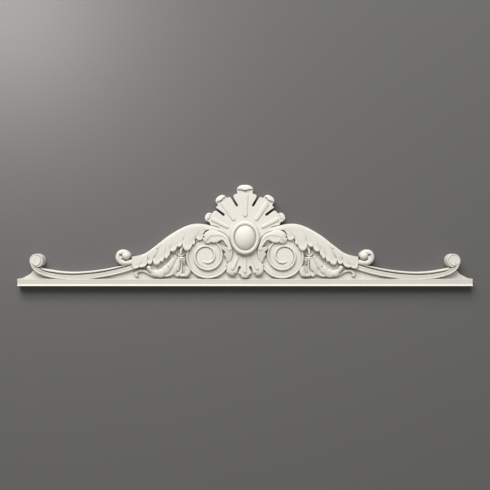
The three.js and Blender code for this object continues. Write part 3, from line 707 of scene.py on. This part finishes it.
def leaf_lines():
    """The narrow gaps and creases between the leaves, and a few small holes."""
    slit = Flow((94, 148), (101.4, 145.7), (106.5, 141), (109.3, 135))
    shoulder_line = Flow((94, 160.8), (84.3, 159.4), (73.8, 156.8), (66.4, 153))
    arch_line = Flow(
        (70, 145.4), (63.2, 143.1), (52.7, 138.3), (44.8, 129.1), (40.1, 118), (35.6, 106.2),
        (32.6, 95.7), (32, 83),
    )
    for name, line, half, floor in (
        ("slit", slit, ramp((0, 0.9), (0.3, 1.8), (1, 1.2)), 16),
        ("shoulder_line", shoulder_line, ramp((0, 0.9), (0.7, 1.2), (1, 0.5)), 24),
        ("arch_line", arch_line, ramp((0, 0.4), (0.2, 0.9), (0.7, 1.3), (1, 1)), 23),
    ):
        incised("leaf_" + name, line, 40, half, lambda u, v: floor)
    # Each crease: the points of its line, and the depths at which it starts and ends.
    creases = (
        (((127.5, 143), (130.2, 133), (130.4, 122), (129.8, 111)), 34.4, 20),
        (((199.5, 110), (198.2, 98)), 32.4, 31.6),
        (((221.3, 108.8), (228.5, 93), (234.5, 80.4), (241.6, 73)), 31.6, 28.6),
        (((254.8, 81), (256, 71.5)), 29.4, 28),
    )
    half, dip = ramp((0, 0.3), (0.7, 1.0), (1, 0.8)), 0.8
    for i, (points, start, end) in enumerate(creases):
        line = Flow(*points)
        incised(f"leaf_crease_{i + 1}", line, 24, half, lambda u, v: lerp(start, end, u**2) - dip * dome(v))
    # Each hole: its place (x, z), its radius and the depth of its floor.
    holes = (
        (108.6, 130.2, 2.4, 18),
        (230.6, 99.6, 1.6, 24),
        (202.1, 52.4, 1.8, 18),
        (186.3, 76.7, 1.5, 26),
        (130.0, 121.5, 2.3, 21),
        (88.5, 115.9, 1.8, 22),
        (28.2, 34.3, 1.7, 15),
        (48.2, 52.2, 1.5, 19),
    )
    for i, hole in enumerate(holes):
        drilled(f"hole_{i + 1}", *hole)


# Husk spray


def husk():
    """The spray that hangs under the leaf: a flower on a stem, a long scalloped leaf and a tendril."""
    stem = Flow((163.5, 112), (166, 102), (168.3, 93), (169.6, 84))
    stem_half = ramp((0, 2.2), (0.6, 3.5), (1, 2.6))
    rise = 3
    strip("husk_stem", SIDE, stem, steps(24), across(10), stem_half, lambda u, v: 26.5 + rise * dome(v))
    collar = Flow((177, 88.5), (173.6, 82.5), (168, 80.6), (161, 82.4))
    collar_half = ramp((0, 1.2), (0.5, 2.6), (1, 1.2))
    strip("husk_collar", SIDE, collar, steps(20), across(8), collar_half, lambda u, v: 26 + rise * dome(v))
    body = (
        (174, 81), (186, 80), (197, 64), (205, 50), (222, 40), (235, 30), (205, 25), (193.7, 29),
        (186, 31), (181, 26), (170, 25), (164.5, 40), (164.5, 60), (160, 64), (160, 76),
    )
    plate("husk_body", SIDE, body, depth=23.5, arris=1.0)
    # Each petal: the points of its line, its half-widths and its depths at the edges.
    petals = (
        (
            "long",
            ((174, 75), (178, 60), (184, 44), (193, 31)),
            ((0, 4.5), (0.3, 7.6), (0.75, 8), (0.93, 5), (1, 2)),
            ((0, 26), (0.5, 25), (1, 22)),
        ),
        (
            "middle",
            ((173, 72), (175.4, 58), (177, 41.6)),
            ((0, 3), (0.5, 4.8), (0.8, 5), (0.94, 3.6), (1, 1.6)),
            ((0, 26.5), (0.5, 26), (1, 24)),
        ),
        (
            "throat",
            ((168.4, 76), (167, 58), (167, 44), (170.5, 29)),
            ((0, 3.2), (0.3, 2.4), (0.7, 2.6), (1, 4)),
            ((0, 27), (0.5, 24), (1, 22)),
        ),
        (
            "side",
            ((162, 76), (161, 66), (160.6, 55)),
            ((0, 5.2), (0.5, 4.6), (1, 3)),
            ((0, 26), (0.35, 24.5), (0.75, 19), (1, 16)),
        ),
        (
            "top",
            ((175.6, 74.6), (168, 75.4), (160.4, 74.4)),
            ((0, 2), (0.5, 3), (1, 2.2)),
            ((0, 27), (1, 27)),
        ),
        (
            "curl",
            ((171, 29), (162, 29.3), (154.6, 31.4), (150.6, 38), (151.6, 46), (153, 54.5)),
            ((0, 3), (0.25, 4.6), (0.5, 6.8), (0.68, 7), (0.85, 4.4), (1, 0.8)),
            ((0, 22), (0.5, 25.2), (1, 26.2)),
        ),
    )
    for name, points, widths, depths in petals:
        line, half, lift = Flow(*points), ramp(*widths), ramp(*depths)
        strip("husk_" + name, SIDE, line, steps(44), across(12), half, lambda u, v: lift(u) + rise * dome(v))
    petal_line = Flow(
        (166, 69.3), (169.6, 67), (170.4, 58.8), (170.8, 48.2), (173, 41.6), (177, 38.8),
        (181, 41.6),
    )
    curl_line = Flow((164.4, 56.1), (164.8, 45.6), (163.2, 37.7), (158, 33.4))
    line_half = ramp((0, 0.5), (0.3, 0.9), (1, 0.7))
    incised("husk_petal_line", petal_line, 40, line_half, lambda u, v: 21.5)
    incised("husk_curl_line", curl_line, 40, line_half, lambda u, v: 19)
    drilled("husk_notch", x=173.6, z=26.6, radius=2.2, floor=15)
    turned("husk_tip", SIDE, domed(radius=6.0, foot=25, rise=5, count=8), x=252.6, z=48.6)

    scallops, leaf_rise, notch_depth = 5.5, 3.6, 1.3

    def lobes(u):
        return abs(math.sin(math.pi * scallops * u)) ** 0.6

    def petal_offset(u, v):
        width = ramp((0, 4.5), (0.2, 7.8), (0.41, 9.8), (0.63, 10.8), (0.79, 8.8), (0.92, 5.4), (1, 4))(u)
        return v * (width + (0.9 if v > 0 else 1.6) * lobes(u) - 0.8)

    def petal_front(u, v):
        lift = ramp((0, 27), (0.4, 24.5), (0.8, 22), (1, 26))(u)
        notched = ease(u, 0.2, 0.3) * (1 - ease(u, 0.74, 0.84)) * ease(abs(v), 0.3, 0.9)
        return lift + leaf_rise * dome(v) - notch_depth * (1 - lobes(u)) * notched

    spine = Flow((181, 80), (192, 63), (205, 46.8), (221.5, 35), (237.5, 34.6), (248.5, 42), (253, 48))
    band("husk_leaf", SIDE, spine, steps(90), across(16), petal_offset, petal_front)
    tendril = Flow(
        (237, 27), (250, 32), (261, 38), (271.4, 41), (280.6, 40), (286.6, 35.2), (287, 29.5),
        (283.5, 26.2),
    )
    half = ramp((0, 2.5), (0.3, 3.4), (0.6, 3.5), (0.85, 4.1), (1, 2.6))
    strip("husk_tendril", SIDE, tendril, steps(60), across(10), half, lambda u, v: 19.5 + 2.6 * dome(v))


# Sunburst

UPPER_FOCUS, LOWER_FOCUS = 132.5, 116.7
# The caps of the rays are a little squarer than an ellipse.
SQUARENESS = 0.85

# Each ray: its bearing, the radius of its tip and of the widest place of its round cap, the cap's
# half-width, the radius of the lip's line and how far the lip curls forward, and the (radius, half-width)
# of the neck and of the tooth on its inner and outer sides. A ray on the centre line has no inner side.
UPPER_RAYS = (
    dict(
        bearing=0, tip=134.4, cap=120, half=21.3, lip=120.9, curl=4.5,
        inner=(),
        outer=((111.5, 20.3), (107.2, 30.8)),
    ),
    dict(
        bearing=33.6, tip=125.2, cap=113, half=15, lip=113.8, curl=4.5,
        inner=((109, 16), (107, 24)),
        outer=((106.7, 14.5), (104, 22.8)),
    ),
    dict(
        bearing=62.5, tip=117, cap=105.5, half=12, lip=106, curl=2.5,
        inner=((103.5, 14), (101, 22)),
        outer=((99.5, 11), (97, 14)),
    ),
)
# Each slit between two rays: the (bearing, radius) of its two ends, its half-width and that of its mouth.
UPPER_SLITS = (
    dict(inner=(14.9, 83.2), outer=(18.2, 104), half=3.0, mouth=3.0),
    dict(inner=(45.3, 79.4), outer=(46.9, 101), half=3.0, mouth=3.0),
)
# The reed along each ray: the radius where it starts and ends, and its half-width.
UPPER_TONGUES = ((51, 116, 8.8), (50, 108, 7.2), (49, 100, 6))
LOWER_RAYS = (
    dict(
        bearing=180, tip=95, cap=87, half=11, lip=84, curl=4,
        inner=(),
        outer=((85.5, 11.2), (82.8, 16.4)),
    ),
    dict(
        bearing=155, tip=95, cap=87, half=12.5, lip=83, curl=4,
        inner=((85.5, 10.4), (82.4, 14.4)),
        outer=((80, 15.5), (76.5, 18.5)),
    ),
)
LOWER_SLITS = (dict(inner=(168, 68.5), outer=(166.4, 82), half=3.2, mouth=1.9),)
LOWER_TONGUES = ((43, 81, 4.9), (42, 80, 4.9))


def ray_half_outline(focus, ray, side):
    """One side of a ray from its tip to its tooth: side 1 lies away from the centre line."""
    points = []
    for turn in steps(9, 0, 90):
        angle = math.radians(turn)
        r = ray["cap"] + (ray["tip"] - ray["cap"]) * max(0.0, math.cos(angle)) ** SQUARENESS
        points.append((r, ray["half"] * math.sin(angle) ** SQUARENESS))
    neck, tooth = ray["outer"] if side > 0 else ray["inner"]
    chamfer = 2.2
    points += [neck, (tooth[0] + chamfer * 0.7, tooth[1] - chamfer), tooth]
    return [bearing_point(focus, ray["bearing"], r, side * half) for r, half in points]


def slit_outline(focus, slit):
    """The round-ended gap between two rays, from the first ray's side to the next one's."""
    inner = bearing_point(focus, *slit["inner"])
    outer = bearing_point(focus, *slit["outer"])
    way = (outer - inner).normalized()
    cross = Vector((way.y, -way.x))
    if cross.x > 0:
        cross = -cross
    points = [outer + cross * slit["mouth"]]
    for turn in steps(8, 0, 180):
        angle = math.radians(turn)
        points.append(inner + (cross * math.cos(angle) - way * math.sin(angle)) * slit["half"])
    points.append(outer - cross * slit["mouth"])
    return points


def burst_outline(focus, rays, slits, closing):
    """The outline of a fan of rays on both sides of the centre line."""
    half = []
    for i, ray in enumerate(rays):
        if i:
            half += ray_half_outline(focus, ray, -1)[::-1][:-1]
        half += ray_half_outline(focus, ray, 1)
        if i < len(slits):
            half += slit_outline(focus, slits[i])
    half += [Vector(point) for point in closing]
    other = [Vector((-point.x, point.y)) for point in reversed(half[1:])]
    return [tuple(point) for point in half + other]


def tongue(name, focus, bearing, start, end, half, depth, rise):
    """The raised reed along the middle of a ray, with round ends."""
    length, narrow, least = end - start, 0.72, 0.12

    def width(u):
        taper = lerp(narrow, 1.0, u)
        near, far = u * length, (1 - u) * length
        round_in = dome(1 - min(near / (half * narrow), 1))
        round_out = dome(1 - min(far / half, 1))
        return max(least, taper * min(round_in, round_out)) * half

    stations = sorted({*steps(24), 0.004, 0.012, 0.025, 0.06, 0.94, 0.97, 0.985, 0.995})
    return sheet(
        name,
        MIDDLE,
        stations,
        across(10),
        lambda u, v: bearing_point(focus, bearing, lerp(start, end, u), v * width(u)),
        lambda u, v: depth + rise * dome(v) ** 0.5,
    )


def lip(name, focus, ray, depth):
    """The tip of a ray, curled forward: a round bulge between the lip's line and the outline."""
    middle, tip, half = ray["cap"], ray["tip"], ray["half"]
    shortest, sunk = 0.6, 2

    def place(s, v):
        wave = 0.12 * ease(abs(s), 0.08, 0.55) - 0.05 * ease(abs(s), 0.65, 0.95)
        inner = ray["lip"] + half * wave
        outer = middle + (tip - middle) * (1 - abs(s) ** (2 / SQUARENESS)) ** (SQUARENESS / 2)
        return bearing_point(focus, ray["bearing"], lerp(inner, max(outer, inner + shortest), v), s * half)

    def front(s, v):
        return depth - sunk + (ray["curl"] + sunk) * dome(0.92 * s) ** 0.6 * dome(0.97 * v) ** 0.7

    return sheet(name, MIDDLE, [0.97 * s for s in across(24)], steps(14), place, front)


def sunburst(sizes):
    """The fans of rays above and below the boss, each ray with its reed and its curled tip."""
    depth = sizes.ray_depth / MM
    lower_depth, reed_rise, arris = depth - 1.5, 2.6, 1.4
    upper = burst_outline(UPPER_FOCUS, UPPER_RAYS, UPPER_SLITS, ((88, 156), (84, 130), (40, 100)))
    plate("upper_rays", MIDDLE, upper, depth, arris)
    lower = burst_outline(LOWER_FOCUS, LOWER_RAYS, LOWER_SLITS, ((44, 60), (34, 110)))
    plate("lower_rays", MIDDLE, lower, lower_depth, arris)
    fans = (
        ("upper", UPPER_FOCUS, UPPER_RAYS, UPPER_TONGUES, depth),
        ("lower", LOWER_FOCUS, LOWER_RAYS, LOWER_TONGUES, lower_depth),
    )
    dash = Flow((-0.6, 247.9), (2.4, 247.8), (5, 247.3))
    incised("cap_dash", dash, 8, ramp((0, 0.9), (1, 0.5)), lambda u, v: 25)
    for fan, focus, rays, tongues, level in fans:
        for i, (ray, (start, end, half)) in enumerate(zip(rays, tongues)):
            name = f"{fan}_ray_{i + 1}"
            pieces = [
                tongue(name + "_tongue", focus, ray["bearing"], start, end, half, level, reed_rise),
                lip(name + "_lip", focus, ray, level),
            ]
            if i:
                for piece in pieces:
                    mirrored(piece, MIDDLE)


# Boss


def boss(sizes):
    """The oval boss, a dome, inside its round ring."""
    half_width, half_height, depth, rise = 27.9, 33.8, sizes.boss_depth / MM, 15.0
    height = -UNDERSIDE
    stone = domed(half_width, depth - rise, rise, 16)
    turned("boss_stone", MIDDLE, stone, 0, height, half_height / half_width, sides=96)
    ring_width, ring_height, tube, ring_depth, ring_rise = 33.4, 38.3, 5.0, 33.0, 5.0
    ring = [(0, -CUT_ALLOWANCE), (ring_width + tube, -CUT_ALLOWANCE)]
    for angle in steps(16, 0, 180):
        turn = math.radians(angle)
        ring.append((ring_width + tube * math.cos(turn), ring_depth + ring_rise * math.sin(turn)))
    ring.append((0, ring_depth - 1))
    turned("boss_ring", MIDDLE, ring, 0, height, ring_height / ring_width, sides=96)


# Casting


def casting():
    """All the carving as one closed piece with a flat back."""
    cuts = list(working_collection(CUTS).objects)
    cuts += [mirrored(each, "Joined") for each in cuts]
    side = united("side_carving", "Joined", list(working_collection(SIDE).objects))
    other = mirrored(side, "Joined")
    bm = bmesh.new()
    width, thickness, height = 2.4, 0.02, 1.2
    bmesh.ops.create_cube(bm, size=1.0)
    bmesh.ops.scale(bm, vec=(width, thickness, height), verts=bm.verts[:])
    bmesh.ops.translate(bm, vec=(0, thickness / 2, 0), verts=bm.verts[:])
    wall = object_from(bm, "wall_cut", "Joined")
    pieces = [side, other, *working_collection(MIDDLE).objects]
    whole = united(PIECE_NAME, "Ornament", pieces, cutters=[wall, *cuts])
    mesh = whole.data
    without_slivers(mesh)
    mesh.shade_smooth()
    mesh.set_sharp_from_angle(angle=CRISP_ANGLE)
    normals = whole.modifiers.new("Even shading", "WEIGHTED_NORMAL")
    normals.keep_sharp = True
    normals.weight = 60
    return whole


# Finish


def node_with(nodes, kind, **inputs):
    """A new node with its inputs set, where _ stands for a space in an input's name."""
    node = nodes.new(kind)
    for name, value in inputs.items():
        node.inputs[name.replace("_", " ")].default_value = value
    return node


def plaster_material(sizes):
    """Matte primer: faintly clouded and finely grained, with painted shade that darkens its colour in the
    hollows.
    """
    material = bpy.data.materials.new("plaster")
    material.use_nodes = True
    nodes, links = material.node_tree.nodes, material.node_tree.links
    shader = nodes["Principled BSDF"]
    shader.inputs["Roughness"].default_value = sizes.plaster_roughness
    where = nodes.new("ShaderNodeTexCoord")
    cloud = node_with(nodes, "ShaderNodeTexNoise", Scale=14.0, Detail=5.0)
    grain = node_with(nodes, "ShaderNodeTexNoise", Scale=900.0, Detail=3.0)
    tint = nodes.new("ShaderNodeMix")
    tint.data_type = "RGBA"
    light = sizes.plaster_color
    tint.inputs["A"].default_value = (*[0.95 * c for c in light], 1)
    tint.inputs["B"].default_value = (*light, 1)
    # Ambient occlusion darkens the colour in hollows, creases and beside the wall: painted shade.
    hollow = node_with(nodes, "ShaderNodeAmbientOcclusion", Distance=0.009)
    hollow.samples = 8
    shade = node_with(nodes, "ShaderNodeMapRange", From_Min=0.25, From_Max=0.9, To_Min=0.6, To_Max=1.0)
    # The painted shade is multiplied into the plaster's clouded tint.
    painted_shade = nodes.new("ShaderNodeMix")
    painted_shade.data_type = "RGBA"
    painted_shade.blend_type = "MULTIPLY"
    painted_shade.inputs["Factor"].default_value = 1.0
    bump = node_with(nodes, "ShaderNodeBump", Strength=0.12, Distance=0.0004)
    links.new(where.outputs["Object"], cloud.inputs["Vector"])
    links.new(where.outputs["Object"], grain.inputs["Vector"])
    links.new(cloud.outputs["Fac"], tint.inputs["Factor"])
    links.new(hollow.outputs["AO"], shade.inputs["Value"])
    links.new(tint.outputs["Result"], painted_shade.inputs["A"])
    links.new(shade.outputs["Result"], painted_shade.inputs["B"])
    links.new(painted_shade.outputs["Result"], shader.inputs["Base Color"])
    links.new(grain.outputs["Fac"], bump.inputs["Height"])
    links.new(bump.outputs["Normal"], shader.inputs["Normal"])
    return material


def plain_material(name, color, roughness, seen_from_behind=True):
    """Flat paint. Where it isn't seen from behind, the back of its panel is clear."""
    material = bpy.data.materials.new(name)
    material.use_nodes = True
    nodes, links = material.node_tree.nodes, material.node_tree.links
    shader = nodes["Principled BSDF"]
    shader.inputs["Base Color"].default_value = (*color, 1)
    shader.inputs["Roughness"].default_value = roughness
    shader.inputs["Specular IOR Level"].default_value = 0.2
    if not seen_from_behind:
        side = nodes.new("ShaderNodeNewGeometry")
        clear = nodes.new("ShaderNodeBsdfTransparent")
        either = nodes.new("ShaderNodeMixShader")
        links.new(side.outputs["Backfacing"], either.inputs["Fac"])
        links.new(shader.outputs["BSDF"], either.inputs[1])
        links.new(clear.outputs["BSDF"], either.inputs[2])
        links.new(either.outputs["Shader"], nodes["Material Output"].inputs["Surface"])
    return material


# Stage


def flat_panel(name, width, height, matrix, material):
    """A plain panel of the stage."""
    bm = bmesh.new()
    bmesh.ops.create_grid(bm, x_segments=1, y_segments=1, size=0.5)
    bmesh.ops.scale(bm, vec=(width, height, 1), verts=bm.verts[:])
    bmesh.ops.transform(bm, matrix=matrix, verts=bm.verts[:])
    mesh = mesh_from(bm, name)
    mesh.materials.append(material)
    made = bpy.data.objects.new(name, mesh)
    bpy.context.scene.collection.objects.link(made)
    return made


def soft_light(name, place, aim, size, power, color):
    """A soft box at a place, turned to what it aims at."""
    light = bpy.data.lights.new(name, "AREA")
    light.shape = "RECTANGLE"
    light.size, light.size_y = size
    light.energy = power
    light.color = color
    made = bpy.data.objects.new(name, light)
    made.location = place
    made.rotation_euler = (Vector(aim) - Vector(place)).to_track_quat("-Z", "Y").to_euler()
    bpy.context.scene.collection.objects.link(made)
    return made


def back_light(piece):
    """Light for the flat back, which passes through the wall and shines on nothing that faces the room."""
    light = bpy.data.lights.new("back light", "SUN")
    light.energy = 1.6
    light.angle = 0.0
    made = bpy.data.objects.new("back light", light)
    made.location = (0, 2, 0)
    made.rotation_euler = (math.radians(-90), 0, 0)
    bpy.context.scene.collection.objects.link(made)
    receiver = bpy.data.collections.new("Lit from behind")
    receiver.objects.link(piece)
    made.light_linking.receiver_collection = receiver
    made.light_linking.blocker_collection = receiver


def camera():
    """Straight in front, with frame_width in view at the depth of the carving's faces."""
    distance, height, frame_width, frame_depth, sensor = 2.1, -0.0189, 1.291, 0.022, 36.0
    lens = bpy.data.cameras.new("Camera")
    lens.sensor_width = sensor
    lens.lens = sensor * (distance - frame_depth) / frame_width
    made = bpy.data.objects.new("Camera", lens)
    made.location = (0, -distance, height)
    made.rotation_euler = (math.radians(90), 0, 0)
    bpy.context.scene.collection.objects.link(made)
    bpy.context.scene.camera = made


# Sizes and colours


def length_property(name, description, default):
    return bpy.props.FloatProperty(
        name=name, description=description, default=default, unit="LENGTH", precision=4
    )


def color_property(name, description, default):
    return bpy.props.FloatVectorProperty(
        name=name, description=description, default=default, subtype="COLOR", size=3, min=0.0, max=1.0
    )


class OrnamentSizes(bpy.types.PropertyGroup):
    """Sizes and finish of the ornament"""

    base_height: length_property("Base height", "Height of the base strip", 0.0195)
    base_depth: length_property("Base depth", "How far the base strip stands out of the wall", 0.020)
    lip: length_property("Lip", "How far the lip along the underside stands out of the base", 0.0034)
    ground_depth: length_property("Ground depth", "Depth of the flat field behind the carving", 0.0155)
    fascia_width: length_property("Fascia width", "Width of the flat face of the rails", 0.0135)
    fascia_depth: length_property("Fascia depth", "Depth of the flat face of the rails", 0.0225)
    bead_width: length_property("Bead width", "Width of the bead on top of the rails", 0.0053)
    bead_depth: length_property("Bead depth", "Depth of the bead on top of the rails", 0.0255)
    roll_radius: length_property("Roll radius", "Radius of the rolls at the ends of the rails", 0.018)
    roll_depth: length_property("Roll depth", "Depth of the rolls at the ends of the rails", 0.034)
    volute_radius: length_property("Volute radius", "Radius at which the volutes start", 0.0635)
    volute_pitch: length_property("Volute pitch", "Distance between the outer turns of a volute", 0.0233)
    ray_depth: length_property("Ray depth", "Depth of the sunburst's rays", 0.0265)
    boss_depth: length_property("Boss depth", "Depth of the oval boss", 0.046)
    plaster_color: color_property("Plaster", "Colour of the plaster", (0.80, 0.775, 0.71))
    plaster_roughness: bpy.props.FloatProperty(
        name="Roughness",
        description="Roughness of the plaster",
        default=0.7,
        min=0.0,
        max=1.0,
        subtype="FACTOR",
    )


class OrnamentStage(bpy.types.PropertyGroup):
    """Colours of the wall and the floor"""

    wall_color: color_property("Wall", "Colour of the wall behind the ornament", (0.132, 0.132, 0.132))
    floor_color: color_property("Floor", "Colour of the floor", (0.75, 0.74, 0.72))


# Operators


class ORNAMENT_OT_base_and_rails(bpy.types.Operator):
    """Model the base strip, its ground and the scrolled rails"""

    bl_idname = "ornament.base_and_rails"
    bl_label = "Base and Rails"

    def execute(self, context):
        sizes = context.scene.ornament_sizes
        base_strip(sizes)
        ground(sizes)
        rail(sizes)
        roll(sizes)
        tail_curl()
        return {"FINISHED"}


class ORNAMENT_OT_volutes(bpy.types.Operator):
    """Model the volutes beside the boss"""

    bl_idname = "ornament.volutes"
    bl_label = "Volutes"

    def execute(self, context):
        volute(context.scene.ornament_sizes)
        return {"FINISHED"}


class ORNAMENT_OT_leaves(bpy.types.Operator):
    """Model the acanthus leaves"""

    bl_idname = "ornament.leaves"
    bl_label = "Acanthus Leaves"

    def execute(self, context):
        leaf_blade()
        leaf_shoulder()
        curled_leaf()
        hollow_floors()
        leaf_lines()
        return {"FINISHED"}


class ORNAMENT_OT_husks(bpy.types.Operator):
    """Model the sprays of husks under the leaves"""

    bl_idname = "ornament.husks"
    bl_label = "Husk Sprays"

    def execute(self, context):
        husk()
        return {"FINISHED"}


class ORNAMENT_OT_sunburst(bpy.types.Operator):
    """Model the rays above and below the boss"""

    bl_idname = "ornament.sunburst"
    bl_label = "Sunburst"

    def execute(self, context):
        sunburst(context.scene.ornament_sizes)
        return {"FINISHED"}


class ORNAMENT_OT_boss(bpy.types.Operator):
    """Model the oval boss and its ring"""

    bl_idname = "ornament.boss"
    bl_label = "Boss"

    def execute(self, context):
        boss(context.scene.ornament_sizes)
        return {"FINISHED"}


class ORNAMENT_OT_casting(bpy.types.Operator):
    """Join the carving into one plaster casting with a flat back"""

    bl_idname = "ornament.casting"
    bl_label = "Casting"

    def execute(self, context):
        whole = casting()
        whole.data.materials.clear()
        whole.data.materials.append(plaster_material(context.scene.ornament_sizes))
        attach(whole, "root")
        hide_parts("relief_ornament")
        return {"FINISHED"}


class ORNAMENT_OT_stage(bpy.types.Operator):
    """Set up the wall, the floor, the light and the camera"""

    bl_idname = "ornament.stage"
    bl_label = "Stage"

    def execute(self, context):
        colors = context.scene.ornament_stage
        wall = plain_material("wall paint", colors.wall_color, 0.9, seen_from_behind=False)
        upright = Matrix.Translation((0, 0.0004, 0.1)) @ Matrix.Rotation(math.radians(90), 4, "X")
        backdrop = flat_panel("wall", 7.0, 5.0, upright, wall)
        floor = plain_material("floor paint", colors.floor_color, 0.8)
        flat_panel("floor", 7.0, 7.0, Matrix.Translation((0, -1.0, -2.4)), floor)
        warm, white, warmer = (1.0, 0.985, 0.96), (1.0, 1.0, 1.0), (1.0, 0.96, 0.93)
        middle, glow_from, glow_on = (0, 0, 0), (-0.66, -0.45, 0.64), (-0.66, 0, 0.64)
        soft_light("key light", (-1.1, -3.1, 3.9), middle, size=(4.2, 3.2), power=352.0, color=warm)
        soft_light("fill light", (0.6, -2.7, 1.6), middle, size=(2.4, 1.2), power=20.0, color=white)
        glow = soft_light("wall light", glow_from, glow_on, size=(0.3, 0.3), power=4.0, color=warmer)
        lit = bpy.data.collections.new("Lit by the wall light")
        lit.objects.link(backdrop)
        glow.light_linking.receiver_collection = lit
        back_light(bpy.data.objects[PIECE_NAME])
        world = bpy.data.worlds.new("studio")
        world.use_nodes = True
        around = world.node_tree.nodes["Background"]
        around.inputs["Color"].default_value = (0.9, 0.92, 0.95, 1)
        around.inputs["Strength"].default_value = 0.07
        context.scene.world = world
        context.scene.view_settings.view_transform = "Standard"
        camera()
        return {"FINISHED"}


class ORNAMENT_PT_panel(bpy.types.Panel):
    """Sizes, colours and steps of the ornament"""

    bl_idname = "ORNAMENT_PT_panel"
    bl_label = "Relief Ornament"
    bl_space_type = "VIEW_3D"
    bl_region_type = "UI"
    bl_category = "Ornament"

    def draw(self, context):
        layout = self.layout
        for group in (context.scene.ornament_sizes, context.scene.ornament_stage):
            for name in group.__annotations__:
                layout.prop(group, name)
        for operator in OPERATORS:
            layout.operator(operator.bl_idname)


OPERATORS = (
    ORNAMENT_OT_base_and_rails,
    ORNAMENT_OT_volutes,
    ORNAMENT_OT_leaves,
    ORNAMENT_OT_husks,
    ORNAMENT_OT_sunburst,
    ORNAMENT_OT_boss,
    ORNAMENT_OT_casting,
    ORNAMENT_OT_stage,
)
CLASSES = (OrnamentSizes, OrnamentStage, *OPERATORS, ORNAMENT_PT_panel)


def register():
    for cls in CLASSES:
        bpy.utils.register_class(cls)
    bpy.types.Scene.ornament_sizes = bpy.props.PointerProperty(type=OrnamentSizes)
    bpy.types.Scene.ornament_stage = bpy.props.PointerProperty(type=OrnamentStage)


def unregister():
    del bpy.types.Scene.ornament_stage
    del bpy.types.Scene.ornament_sizes
    for cls in reversed(CLASSES):
        bpy.utils.unregister_class(cls)


def main():
    register()
    bpy.ops.ornament.base_and_rails()
    bpy.ops.ornament.volutes()
    bpy.ops.ornament.leaves()
    bpy.ops.ornament.husks()
    bpy.ops.ornament.sunburst()
    bpy.ops.ornament.boss()
    bpy.ops.ornament.casting()
    bpy.ops.ornament.stage()


if __name__ == "__main__":
    main()
